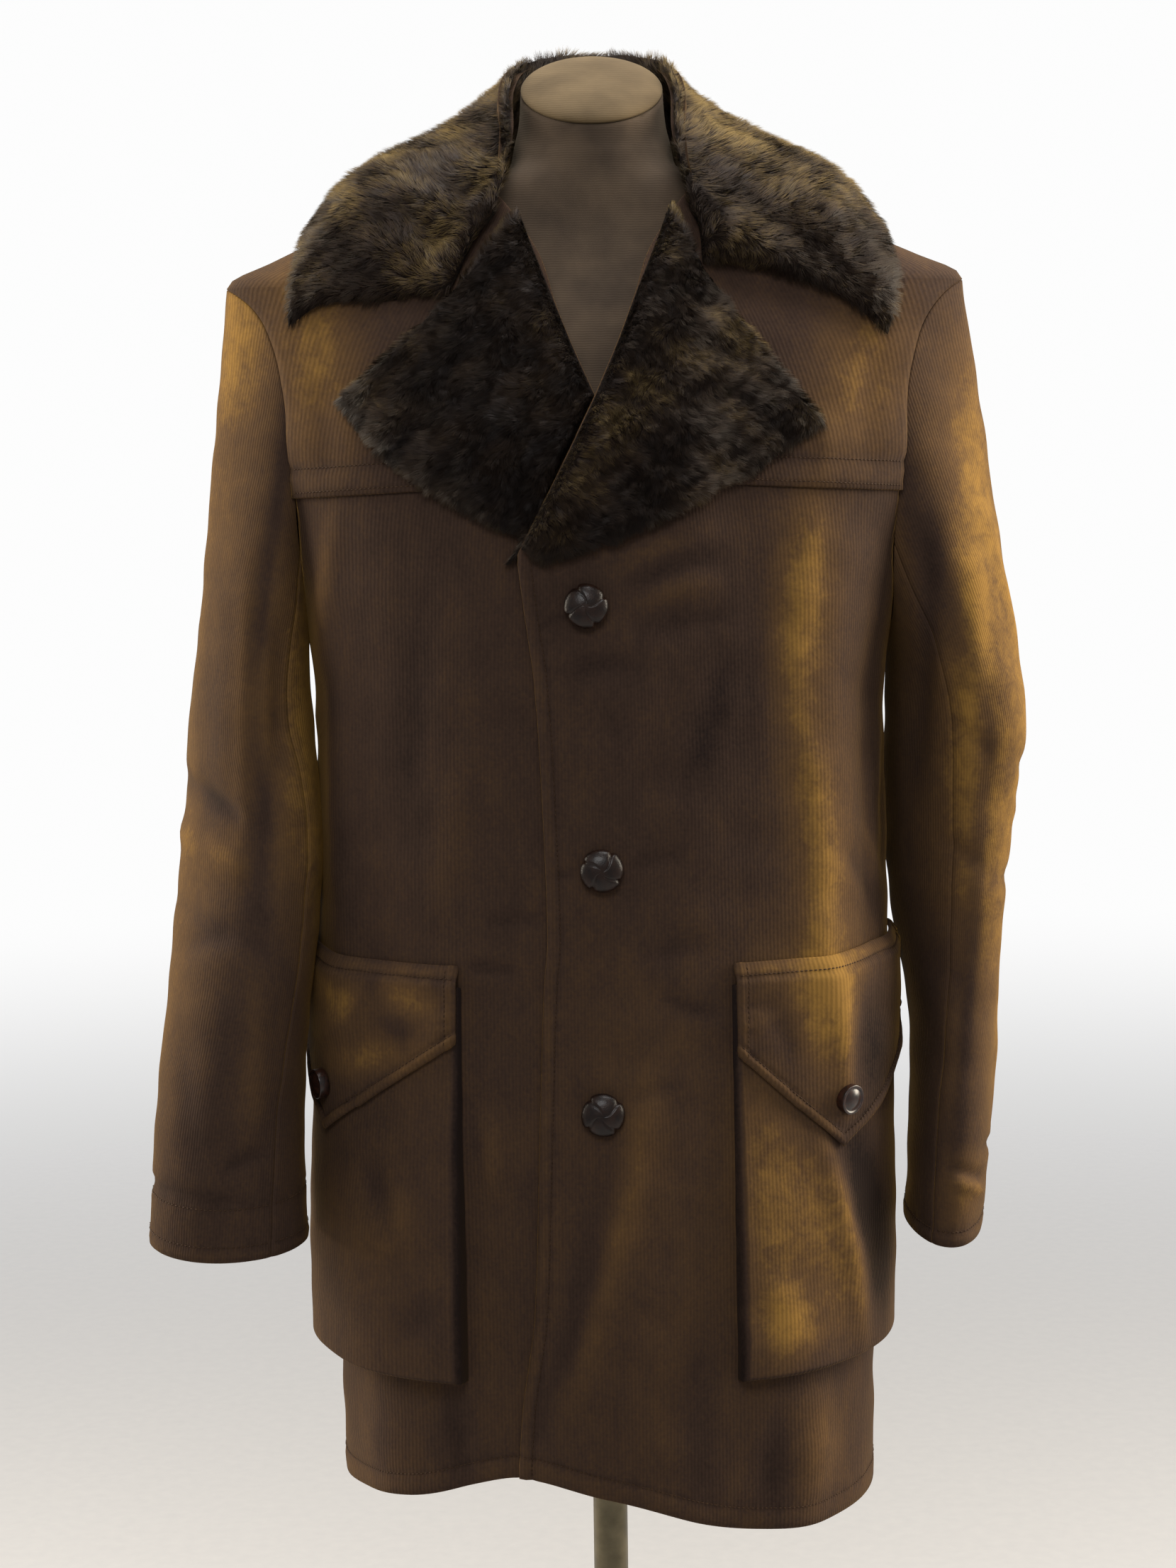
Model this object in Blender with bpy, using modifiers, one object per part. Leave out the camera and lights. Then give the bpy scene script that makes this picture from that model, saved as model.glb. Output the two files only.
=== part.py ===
"""Corduroy car coat with a deep pile collar, buttoned on a limbless dress form on a round stand.

Metres, +Z up. The origin is the middle of the stand's underside, the coat's front faces -Y and the
wearer's left is +X. Every cloth piece is a wall laid on one body surface, so pieces that lie on each
other share its points and differ only in how far they are moved out.
"""

from collections import namedtuple
from math import atan2, cos, exp, pi, radians, sin, sqrt, tan

import bmesh
import bpy
from mathutils import Matrix, Vector

# Driving sizes, metres
CLOTH = 0.0022          # corduroy with its backing
PILE = 0.009            # collar and lapel cloth with the fur pile
GAP = 0.0003            # between pieces at a seam
LAY = 0.0010            # between layers, more than their facets can differ by
HEM = 0.622             # mean height; HEM_LINE gives it all round
WAIST = 0.998           # top of the pocket flaps
BREAK = 1.268           # where the lapels start to turn back
ARMPIT = 1.208
SHOULDER = 1.445        # height of the shoulder points
NECK = 1.525            # height of the neck seam
LEFT, RIGHT = 1, -1     # the wearer's sides

# Points round an armhole and its sleeve; panels have their rows at the same heights
RING = 18
SEAM_ANGLE = 0.0009     # half the gap of a seam that runs up the body, radians
ARMHOLE_FRONT = radians(20)
ARMHOLE_BACK = radians(21)
YOKE_RISE = 0.016       # the yoke seam climbs towards the middle by this much
YOKE_LAP = 0.012        # how far the front reaches up under the yoke

Section = namedtuple("Section", "height half_width front_depth back_depth corner")
BODY = [
    Section(0.560, 0.1865, 0.160, 0.146, 2.5),
    Section(0.622, 0.1870, 0.160, 0.146, 2.5),
    Section(0.720, 0.1880, 0.160, 0.146, 2.5),
    Section(0.850, 0.1920, 0.158, 0.144, 2.5),
    Section(0.990, 0.1980, 0.155, 0.138, 2.5),
    Section(1.080, 0.1970, 0.153, 0.138, 2.5),
    Section(1.160, 0.1955, 0.152, 0.142, 2.5),
    Section(1.250, 0.2070, 0.147, 0.142, 2.5),
    Section(1.330, 0.2260, 0.133, 0.133, 2.45),
    Section(1.400, 0.2430, 0.109, 0.117, 2.4),
    Section(1.445, 0.2500, 0.088, 0.104, 2.3),
    Section(1.460, 0.2220, 0.081, 0.100, 2.3),
    Section(1.485, 0.1650, 0.070, 0.092, 2.25),
    Section(1.510, 0.1090, 0.060, 0.085, 2.2),
    Section(1.525, 0.0750, 0.056, 0.082, 2.2),
    Section(1.560, 0.0700, 0.052, 0.080, 2.2),
]

# The coat's largest folds: ridges are positive, troughs negative, angles run from the middle front
Fold = namedtuple("Fold", "top top_angle bottom bottom_angle half_width height")
FOLDS = [
    Fold(1.330, 53, 0.900, 49, 0.022, 0.0060),
    Fold(1.300, 68, 0.940, 66, 0.018, -0.0050),
    Fold(1.300, -64, 0.900, -58, 0.022, 0.0055),
    Fold(1.250, 28, 1.090, 8, 0.016, -0.0035),
    Fold(0.930, 13, 0.560, -6, 0.036, 0.0060),
    Fold(0.860, -24, 0.560, -22, 0.034, -0.0045),
    Fold(0.760, 42, 0.500, 44, 0.030, 0.0070),
    Fold(0.800, -52, 0.500, -50, 0.030, 0.0050),
    Fold(1.150, 146, 0.560, 141, 0.030, 0.0070),
    Fold(1.250, -140, 0.560, -147, 0.032, 0.0060),
    Fold(0.980, 176, 0.560, 172, 0.030, -0.0060),
    Fold(1.360, 118, 1.060, 128, 0.022, -0.0050),
    Fold(1.360, -120, 1.080, -129, 0.022, -0.0050),
]

# Edge of the upper (wearer's left) front, past the middle: negative x is the wearer's right
FRONT_EDGE = [(0.560, -0.064), (0.655, -0.060), (0.755, -0.0485), (0.860, -0.044), (0.981, -0.039),
              (1.020, -0.036), (1.130, -0.039), (1.185, -0.042), (1.234, -0.048), (1.268, -0.0515)]
# Height of the hem by angle from the middle front, wearer's right to left
HEM_LINE = [(-180, 0.612), (-90, 0.612), (-47, 0.628), (-21, 0.648), (0, 0.636), (33, 0.608), (60, 0.602),
            (90, 0.602), (180, 0.612)]
HIDDEN_EDGE = -0.045    # the under front's edge, in its own side's terms
ROLL_LINE = [(1.268, -0.0515), (1.3746, 0.0030), (1.430, 0.0262), (1.500, 0.0515), (1.560, 0.066)]
# The fronts' and yokes' own edge follows the roll line, then bends out under the collar's stand
NECK_EDGE = [(1.268, -0.0515), (1.3746, 0.0030), (1.430, 0.0262), (1.460, 0.0355), (1.485, 0.0500),
             (1.500, 0.061), (1.512, 0.0725), (1.525, 0.0745), (1.560, 0.069)]

# A sleeve's level sections: half sizes and where their middles are, out from the body and forward
Station = namedtuple("Station", "height out forward half_width half_depth twist")
SLEEVES = {
    LEFT: [
        Station(1.170, 0.2490, -0.012, 0.0450, 0.080, -8),
        Station(1.080, 0.2450, -0.016, 0.0400, 0.077, -14),
        Station(1.000, 0.2435, -0.006, 0.0345, 0.074, -11),
        Station(0.930, 0.2440, 0.010, 0.0300, 0.071, -4),
        Station(0.855, 0.2410, 0.023, 0.0300, 0.067, 0),
        Station(0.791, 0.2370, 0.032, 0.0270, 0.064, 0),
    ],
    RIGHT: [
        Station(1.170, 0.2440, 0.010, 0.0400, 0.080, 9),
        Station(1.080, 0.2445, 0.032, 0.0430, 0.073, 19),
        Station(0.985, 0.2500, 0.062, 0.0470, 0.065, 21),
        Station(0.890, 0.2580, 0.080, 0.0510, 0.056, 14),
        Station(0.800, 0.2600, 0.092, 0.0540, 0.048, 8),
    ],
}
CUFF_DIP = {LEFT: 0.004, RIGHT: 0.004}
FRONT_SEAM, BACK_SEAM = 6, 13      # ring points where the top and under sleeve meet

# Sections through the collar: two at each front end, then half way round to the middle of the back
CollarCut = namedtuple("CollarCut", "seam_angle seam_height seam_lift roll_x roll_y roll_height "
                                    "edge_angle edge_height bulge")
COLLAR_ENDS = {
    LEFT: [
        CollarCut(40.5, 1.4530, 0.0160, 0.0900, -0.0970, 1.4620, 68.5, 1.4080, 0.007),
        CollarCut(42.0, 1.4760, 0.0160, 0.0780, -0.0890, 1.4950, 72.0, 1.4330, 0.011),
    ],
    RIGHT: [
        CollarCut(48.0, 1.4350, 0.0150, 0.1200, -0.0970, 1.4420, 71.5, 1.4190, 0.008),
        CollarCut(46.0, 1.4680, 0.0145, 0.0880, -0.0870, 1.4850, 73.0, 1.4390, 0.010),
    ],
}
COLLAR = [
    CollarCut(42.7, 1.4980, 0.0145, 0.0590, -0.0700, 1.5190, 76.0, 1.4550, 0.017),
    CollarCut(66.0, 1.5256, -0.0095, 0.0540, -0.0400, 1.5500, 90.0, 1.4730, 0.021),
    CollarCut(95.0, 1.5256, -0.0095, 0.0540, 0.0000, 1.5800, 112.0, 1.4640, 0.019),
    CollarCut(140.0, 1.5256, -0.0095, 0.0410, 0.0510, 1.5970, 145.0, 1.4540, 0.013),
    CollarCut(180.0, 1.5256, -0.0095, 0.0000, 0.0720, 1.6010, 180.0, 1.4500, 0.012),
]
ROLL_WIDTH = 0.021      # across the rolled top of the collar
EDGE_LIFT = 0.0142      # the collar's free edge above the body surface

# Lapel outlines in front view: the tip, the notch under the collar and a point on the lower edge
Lapel = namedtuple("Lapel", "tip_x tip_z notch_x notch_z low_x low_z")
LAPELS = {
    LEFT: Lapel(0.147, 1.352, 0.070, 1.4465, 0.050, 1.286),
    RIGHT: Lapel(0.167, 1.371, 0.099, 1.4290, 0.105, 1.280),
}
TIP_SHARE = 0.62        # share of the roll line's length that the lower edge answers to

# Pockets: angles of the two side edges and how far the bellows stand out. Flaps: heights of their sides
# and point, and where point and button lie across them, from 0 at the near edge to 1
Pocket = namedtuple("Pocket", "near far depth flap_side flap_tip tip_turn button_turn button_z")
POCKETS = {
    LEFT: Pocket(radians(29.5), radians(91), 0.017, 0.938, 0.868, 0.37, 0.38, 0.9020),
    RIGHT: Pocket(radians(33.0), radians(93), 0.022, 0.948, 0.876, 0.54, 0.54, 0.9080),
}
POCKET_TOP, POCKET_BOTTOM = 0.984, 0.714
POCKET_TOP_DEPTH = 0.0075

BUTTONS = [(-0.0086, 1.2364), (-0.0008, 1.0635), (-0.0016, 0.9005)]
BUTTON_RADIUS, BUTTON_HEIGHT = 0.0148, 0.0105
FLAP_BUTTON_RADIUS, FLAP_BUTTON_HEIGHT = 0.0102, 0.0070

# Dress form: how far inside the body surface it lies, at the sides, front and back
FormCut = namedtuple("FormCut", "height side front back")
FORM = [
    FormCut(0.775, 0.0650, 0.0620, 0.0620),
    FormCut(0.785, 0.0450, 0.0430, 0.0430),
    FormCut(0.810, 0.0350, 0.0330, 0.0330),
    FormCut(0.900, 0.0330, 0.0320, 0.0320),
    FormCut(1.000, 0.0420, 0.0380, 0.0380),
    FormCut(1.100, 0.0400, 0.0360, 0.0360),
    FormCut(1.200, 0.0300, 0.0300, 0.0300),
    FormCut(1.300, 0.0340, 0.0260, 0.0260),
    FormCut(1.360, 0.0300, 0.0220, 0.0220),
    FormCut(1.410, 0.0260, 0.0180, 0.0180),
    FormCut(1.445, 0.0180, 0.0170, 0.0170),
    FormCut(1.460, 0.0010, 0.0160, 0.0160),
    FormCut(1.485, 0.0010, 0.0135, 0.0150),
    FormCut(1.510, 0.0010, 0.0060, 0.0150),
    FormCut(1.524, 0.0190, 0.0032, 0.0170),
]
NECK_RADIUS, NECK_DEPTH = 0.0490, 0.0520
NECK_TOP, CAP_TILT = 1.5745, radians(26)
CAP_RISE = 0.011
# The form's neck above its torso: slant is the share of the cap's tilt that a section has
NeckCut = namedtuple("NeckCut", "height slant half_width half_depth")
FORM_NECK = [
    NeckCut(1.538, 0.15, 0.0545, 0.0530),
    NeckCut(1.552, 0.60, 0.0500, 0.0522),
    NeckCut(NECK_TOP, 1.0, NECK_RADIUS, NECK_DEPTH),
]
FORM_POINTS = 24
POLE_RADIUS, SOCKET_DEPTH = 0.0127, 0.040
BASE_RADIUS, BASE_THICKNESS = 0.175, 0.014


def curve(points):
    """A smooth curve through (key, value) points that doesn't swing past them."""
    keys = [key for key, _ in points]
    values = [value for _, value in points]
    steps = [(values[i + 1] - values[i]) / (keys[i + 1] - keys[i]) for i in range(len(keys) - 1)]
    slopes = [steps[0]]
    for before, after in zip(steps, steps[1:]):
        turns = before * after <= 0
        slopes.append(0.0 if turns else 2 * before * after / (before + after))
    slopes.append(steps[-1])

    def at(key):
        i = 0
        while i < len(keys) - 2 and key > keys[i + 1]:
            i += 1
        width = keys[i + 1] - keys[i]
        t = min(max((key - keys[i]) / width, 0.0), 1.0)
        rise = t * t * (3 - 2 * t)
        start = t * (1 - t) ** 2 * width * slopes[i]
        end = t * t * (t - 1) * width * slopes[i + 1]
        return values[i] + (values[i + 1] - values[i]) * rise + start + end

    return at


def column(table, name):
    return curve([(row.height, getattr(row, name)) for row in table])


def spline(points, t):
    """The point at place t on a smooth line through points, one unit apart."""
    i = min(max(int(t), 0), len(points) - 2)
    f = t - i
    b, c = points[i], points[i + 1]
    a = points[i - 1] if i > 0 else 2 * b - c
    d = points[i + 2] if i + 2 < len(points) else 2 * c - b
    return 0.5 * (2 * b + (c - a) * f + (2 * a - 5 * b + 4 * c - d) * f * f
                  + (3 * b - 3 * c + d - a) * f ** 3)


def mix(a, b, t):
    return a + (b - a) * t


def ramp(low, high, value):
    """0 below low, 1 above high and smooth between."""
    t = min(max((value - low) / (high - low), 0.0), 1.0)
    return t * t * (3 - 2 * t)


half_width_at = column(BODY, "half_width")
front_depth_at = column(BODY, "front_depth")
back_depth_at = column(BODY, "back_depth")
corner_at = column(BODY, "corner")
front_edge_at = curve(FRONT_EDGE)
roll_line_at = curve(ROLL_LINE)
neck_edge_at = curve(NECK_EDGE)
hem_at = curve(HEM_LINE)


def fold_height(angle, height, radius):
    """How far the folds push the body surface out at one place."""
    total = 0.0
    for fold in FOLDS:
        along = (fold.top - height) / (fold.top - fold.bottom)
        if 0 < along < 1:
            middle = radians(mix(fold.top_angle, fold.bottom_angle, along))
            turn = (angle - middle + pi) % (2 * pi) - pi
            across = turn * radius / fold.half_width
            total += fold.height * exp(-across * across) * sin(pi * along) ** 0.7
    return total


def oval(angle, half_width, depth, corner):
    """Radius of a rounded oblong at an angle from the middle front."""
    return (abs(sin(angle) / half_width) ** corner + abs(cos(angle) / depth) ** corner) ** (-1 / corner)


def body(angle, height):
    """Inside of the cloth: angle runs from the middle front (0) over the wearer's left side."""
    depth = front_depth_at(height) if cos(angle) > 0 else back_depth_at(height)
    radius = oval(angle, half_width_at(height), depth, corner_at(height))
    radius += fold_height(angle, height, radius)
    return Vector((radius * sin(angle), -radius * cos(angle), height))


def angle_at(x, height):
    """Angle of the front surface where it is x from the middle."""
    corner = corner_at(height)
    share = min(abs(x) / half_width_at(height), 1.0)
    depth = front_depth_at(height) * (1 - share ** corner) ** (1 / corner)
    return atan2(x, depth)


def normal_of(surface, a, b, facing=1):
    step = 1e-3
    across = surface(a + step, b) - surface(a - step, b)
    along = surface(a, b + step) - surface(a, b - step)
    return facing * across.cross(along).normalized()


def skin(surface, a, b, lift, facing=1):
    """A point of a surface moved out along its normal."""
    return surface(a, b) + lift * normal_of(surface, a, b, facing)


def arm_height(k):
    """Height of ring point k of the armhole, 0 at the shoulder point."""
    return ARMPIT + (SHOULDER - ARMPIT) * (1 + cos(2 * pi * k / RING)) / 2


def armhole_angle(height, opening):
    """How far the armhole's edge lies from the side line at a height."""
    if not ARMPIT < height < SHOULDER:
        return SEAM_ANGLE
    level = 2 * (height - ARMPIT) / (SHOULDER - ARMPIT) - 1
    return max(opening * sqrt(1 - level * level) ** 0.8, SEAM_ANGLE)


def make(name, vertices, faces, material):
    """One named object with outward faces and its own material."""
    mesh = bpy.data.meshes.new(name)
    mesh.from_pydata([tuple(v) for v in vertices], [], faces)
    shape = bmesh.new()
    shape.from_mesh(mesh)
    bmesh.ops.recalc_face_normals(shape, faces=shape.faces)
    shape.to_mesh(mesh)
    shape.free()
    mesh.shade_smooth()
    piece = bpy.data.objects.new(name, mesh)
    part_collection.objects.link(piece)
    mesh.materials.append(material_for(name, material))
    return piece


def material_for(name, kind):
    colours = {
        "corduroy": (0.085, 0.042, 0.018, 1), "pile": (0.035, 0.018, 0.009, 1),
        "leather": (0.055, 0.022, 0.010, 1), "horn": (0.018, 0.012, 0.009, 1),
        "jersey": (0.19, 0.155, 0.135, 1), "metal": (0.30, 0.28, 0.22, 1),
    }
    material = bpy.data.materials.new(f"{kind}_{name}")
    material.use_nodes = True
    shader = material.node_tree.nodes["Principled BSDF"]
    shader.inputs["Base Color"].default_value = colours[kind]
    shader.inputs["Roughness"].default_value = 0.5 if kind in ("leather", "horn", "metal") else 0.9
    shader.inputs["Metallic"].default_value = 1.0 if kind == "metal" else 0.0
    return material


def wall(name, outer, inner, material):
    """A closed cloth wall between two grids of points with the same rows and columns."""
    rows, columns = len(outer), len(outer[0])
    count = rows * columns
    vertices = [p for row in outer for p in row] + [p for row in inner for p in row]
    faces = []
    for i in range(rows - 1):
        for j in range(columns - 1):
            a, b = i * columns + j, i * columns + j + 1
            c, d = b + columns, a + columns
            faces.append((a, b, c, d))
            faces.append((d + count, c + count, b + count, a + count))
    border = list(range(columns))
    border += [i * columns + columns - 1 for i in range(1, rows)]
    border += [(rows - 1) * columns + j for j in range(columns - 2, -1, -1)]
    border += [i * columns for i in range(rows - 2, 0, -1)]
    for a, b in zip(border, border[1:] + border[:1]):
        faces.append((b, a, a + count, b + count))
    return make(name, vertices, faces, material)


def laid(name, surface, rows, material, facing=1):
    """A wall on a surface from rows of (a, b, inside lift, outside lift)."""
    outer = [[skin(surface, a, b, out, facing) for a, b, _, out in row] for row in rows]
    inner = [[skin(surface, a, b, lift, facing) for a, b, lift, _ in row] for row in rows]
    return wall(name, outer, inner, material)


def turned(name, profile, steps, material):
    """A solid turned round Z from (radius, height) points that run down from the axis back to it."""
    mesh = bpy.data.meshes.new(name)
    points = [(r, 0, z) for r, z in profile]
    mesh.from_pydata(points, [(i, i + 1) for i in range(len(points) - 1)], [])
    piece = bpy.data.objects.new(name, mesh)
    part_collection.objects.link(piece)
    screw = piece.modifiers.new("turn", "SCREW")
    screw.steps = steps
    screw.render_steps = steps
    screw.use_merge_vertices = True
    screw.merge_threshold = 1e-5
    mesh.materials.append(material_for(name, material))
    return piece


def side_lift(side, x, height):
    """How far the fronts stand out: the upper one laps the under one and its lapel fold rolls."""
    if side == RIGHT:
        return 0.0
    lap = mix(CLOTH + LAY, 2 * (CLOTH + LAY), ramp(1.225, 1.285, height))
    lap *= 1 - ramp(0.052, 0.095, x)
    from_roll = x - roll_line_at(max(height, BREAK))
    roll = 0.006 * exp(-(from_roll / 0.035) ** 2) * ramp(BREAK - 0.05, BREAK + 0.03, height)
    return lap + roll * (1 - ramp(1.43, 1.48, height))


def yoke_lap(height):
    """How far the yoke's lower edge stands out over the top of the front."""
    seam = arm_height(5)
    return (CLOTH + 0.8 * LAY) * (1 - ramp(seam + YOKE_RISE + YOKE_LAP + 0.003, 1.375, height))


def hang(angle, level):
    """Height of a row at an angle: the lowest rows follow the hem line."""
    turn = (angle + pi) % (2 * pi) - pi
    return level + (hem_at(turn * 180 / pi) - HEM) * (1 - ramp(HEM, 0.83, level))


def row_angles(inner, outer, columns):
    return [mix(inner, outer, j / columns) for j in range(columns + 1)]


def front_row(side, level, rise, columns, lift_of):
    """One row of a front or yoke, from its middle edge to the side seam, armhole or shoulder seam."""
    low = level + rise
    if low > BREAK:
        edge = neck_edge_at(low)
    else:
        edge = front_edge_at(low) if side == LEFT else HIDDEN_EDGE
    inner = angle_at(edge, low)
    outer = pi / 2 - armhole_angle(level, ARMHOLE_FRONT)
    row = []
    for j, angle in enumerate(row_angles(inner, outer, columns)):
        height = hang(side * angle, level) + rise * (1 - j / columns)
        lift = lift_of(body(angle, height).x, height)
        row.append((side * angle, height, lift, lift + CLOTH))
    return row


def build_fronts(side, name):
    levels = [HEM, 0.690, 0.760, 0.830, 0.895, 0.950, WAIST, 1.050, 1.105, 1.160, ARMPIT]
    levels += [arm_height(k) for k in (8, 7, 6)]
    seam = arm_height(5)
    rows = [front_row(side, level, 0.0, 12, lambda x, z: side_lift(side, x, z)) for level in levels]
    rows += [front_row(side, level, YOKE_RISE, 12, lambda x, z: side_lift(side, x, z))
             for level in (seam, seam + YOKE_LAP)]
    laid(f"{name}_front", body, rows, "corduroy")


def build_yoke(side, name):
    seam = arm_height(5)
    levels = [(seam, 1.0), (seam + YOKE_LAP + 0.003, 1.0), (arm_height(4), 0.6)]
    levels += [(arm_height(3), 0.25)] + [(arm_height(k), 0.0) for k in (2, 1, 0)]
    levels += [(height, 0.0) for height in (1.460, 1.485, 1.510, NECK)]

    def lift_of(x, height):
        return side_lift(side, x, height) + yoke_lap(height)

    rows = [front_row(side, level, YOKE_RISE * share, 12, lift_of) for level, share in levels]
    laid(f"{name}_yoke", body, rows, "corduroy")


def build_back():
    levels = [HEM, 0.690, 0.760, 0.830, 0.895, 0.950, WAIST, 1.050, 1.105, 1.160, ARMPIT]
    levels += [arm_height(k) for k in (8, 7, 6, 5, 4, 3, 2, 1, 0)] + [1.460, 1.485, 1.510, NECK]
    rows = []
    for level in levels:
        start = pi / 2 + armhole_angle(level, ARMHOLE_BACK)
        angles = row_angles(start, 2 * pi - start, 18)
        rows.append([(angle, hang(angle, level), 0.0, CLOTH) for angle in angles])
    laid("back", body, rows, "corduroy")


def sleeve_surface(side):
    """The sleeve from its armhole (along 0) to its cuff, round from the outer side over the front."""
    table = SLEEVES[side]

    def armhole(turn):
        height = ARMPIT + (SHOULDER - ARMPIT) * (1 + cos(turn)) / 2
        if sin(turn) >= 0:
            angle = pi / 2 - armhole_angle(height, ARMHOLE_FRONT)
        else:
            angle = pi / 2 + armhole_angle(height, ARMHOLE_BACK)
        point = skin(body, side * angle, height, CLOTH / 2)
        middle = Vector((point.x, 0, (ARMPIT + SHOULDER) / 2))
        return middle + (point - middle) * 0.992 + Vector((side * 4 * GAP, 0, 0))

    def ring(row, turn, dip=0.0):
        twist = radians(row.twist)
        out, forward = row.half_width * cos(turn), row.half_depth * sin(turn)
        return Vector((side * (row.out + out * cos(twist) - forward * sin(twist)),
                       -row.forward - out * sin(twist) - forward * cos(twist),
                       row.height - dip * sin(turn)))

    def surface(turn, along):
        points = [armhole(turn)]
        points += [ring(row, turn) for row in table[:-1]]
        points.append(ring(table[-1], turn, CUFF_DIP[side]))
        return spline(points, along)

    return surface, len(table)


def build_sleeve(side, name):
    surface, length = sleeve_surface(side)
    places = [0.0, 0.12, 0.3, 0.5, 0.72, 1.0, 1.5, 2.0]
    places += [2.0 + (length - 2.0) * i / 6 for i in range(1, 7)]
    seam = 0.004
    spans = {
        "top_sleeve": (BACK_SEAM - RING, FRONT_SEAM),
        "under_sleeve": (FRONT_SEAM, BACK_SEAM),
    }
    for kind, (first, last) in spans.items():
        turns = [2 * pi * k / RING for k in range(first, last + 1)]
        turns[0] += seam
        turns[-1] -= seam
        rows = [[(turn, along, -CLOTH, 0.0) for turn in turns] for along in places]
        laid(f"{name}_{kind}", surface, rows, "corduroy", facing=side)


def collar_profile(cut, side):
    """Guide points across the collar at one section: seam, roll, over the roll, mid fall, edge."""
    seam = skin(body, radians(cut.seam_angle), cut.seam_height, cut.seam_lift)
    roll = Vector((cut.roll_x, cut.roll_y, cut.roll_height))
    edge = skin(body, radians(cut.edge_angle), cut.edge_height, EDGE_LIFT)
    outward = Vector((edge.x - roll.x, edge.y - roll.y, 0)).normalized()
    over = roll + ROLL_WIDTH * outward + Vector((0, 0, -0.004))
    fall = edge - over
    square = Vector((0, 0, 1)) - fall.normalized() * fall.normalized().z
    middle = over + 0.60 * fall + cut.bulge * square.normalized()
    return [Vector((side * p.x, p.y, p.z)) for p in (seam, roll, over, middle, edge)]


def collar_surface():
    right = [collar_profile(cut, RIGHT) for cut in COLLAR_ENDS[RIGHT] + COLLAR[:-1]]
    left = [collar_profile(cut, LEFT) for cut in COLLAR_ENDS[LEFT] + COLLAR]
    cuts = right + left[::-1]
    tracks = [[cut[i] for cut in cuts] for i in range(5)]

    def surface(around, across):
        return spline([spline(track, around) for track in tracks], across)

    return surface, len(cuts) - 1


def build_collar():
    surface, length = collar_surface()
    around = [length * i / 32 for i in range(33)]
    across = [0.0, 0.5, 0.85, 1.2, 1.6, 2.0, 2.5, 3.0, 3.5, 4.0]
    rows = [[(a, b, -PILE, 0.0) for a in around] for b in across]
    laid("collar", surface, rows, "pile")


def build_lapel(side, name):
    """Pile facing between the roll line, the gorge under the collar and the lapel's two free edges."""
    shape = LAPELS[side]
    top = 1.4930
    rows = []
    for t in (0.02, 0.12, 0.24, 0.36, 0.48, TIP_SHARE, 0.72, 0.81, 0.9, 1.0):
        roll_z = mix(BREAK, top, t)
        roll_x = roll_line_at(roll_z) + 0.0006
        if side == RIGHT and roll_x < -roll_line_at(roll_z):
            roll_x = -roll_line_at(roll_z) + 0.0035
        if t <= TIP_SHARE:
            share = t / TIP_SHARE
            start_x, start_z = roll_line_at(BREAK) + 0.010, BREAK - 0.004
            out_x = mix(mix(start_x, shape.low_x, share), mix(shape.low_x, shape.tip_x, share), share)
            out_z = mix(mix(start_z, shape.low_z, share), mix(shape.low_z, shape.tip_z, share), share)
        else:
            share = (t - TIP_SHARE) / (1 - TIP_SHARE)
            out_x = mix(shape.tip_x, shape.notch_x, share)
            out_z = mix(shape.tip_z, shape.notch_z, share)
        row = []
        for j in range(9):
            x, z = mix(roll_x, max(out_x, roll_x + 0.006), j / 8), mix(roll_z, out_z, j / 8)
            lift = side_lift(side, x, z) + CLOTH + 1.5 * LAY + yoke_lap(z) * ramp(1.262, 1.292, z)
            row.append((side * angle_at(x, z), z, lift, lift + PILE))
        rows.append(row)
    laid(f"{name}_lapel", body, rows, "pile")


def pocket_lift(side, height):
    """How far the outside of a pocket's face stands from the body surface."""
    return mix(POCKETS[side].depth, POCKET_TOP_DEPTH, ramp(POCKET_BOTTOM + 0.03, POCKET_TOP, height))


def build_pocket(side, name):
    """A bellows pocket: a face and three gusset walls, open at the top under its flap."""
    pocket = POCKETS[side]
    seat = CLOTH + LAY
    outer, inner = [], []
    inset = CLOTH / 0.18
    heights = [POCKET_BOTTOM, POCKET_BOTTOM + 0.0015, 0.740, 0.780, 0.825, 0.870, 0.915, 0.955, POCKET_TOP]
    turns = [0.0, 0.006] + [0.07 + 0.86 * i / 8 for i in range(9)] + [0.994, 1.0]
    for i, height in enumerate(heights):
        outer_row, inner_row = [], []
        for j, turn in enumerate(turns):
            angle = mix(pocket.near, pocket.far, turn)
            on_cloth = i == 0 or j in (0, len(turns) - 1)
            lift = seat if on_cloth else pocket_lift(side, height)
            in_angle = min(max(angle, pocket.near + inset), pocket.far - inset)
            in_height = max(height, POCKET_BOTTOM + CLOTH)
            in_lift = seat if on_cloth else lift - CLOTH
            outer_row.append(skin(body, side * angle, height, lift))
            inner_row.append(skin(body, side * in_angle, in_height, in_lift))
        outer.append(outer_row)
        inner.append(inner_row)
    wall(f"{name}_pocket", outer, inner, "corduroy")


def flap_lift(side, height):
    """Inside of a flap: on the front at its sewn top edge, then over the pocket's face."""
    over_pocket = pocket_lift(side, min(height, POCKET_TOP)) + 1.5 * LAY
    return mix(over_pocket, CLOTH + 2 * GAP, ramp(POCKET_TOP + 0.001, WAIST, height))


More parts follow.
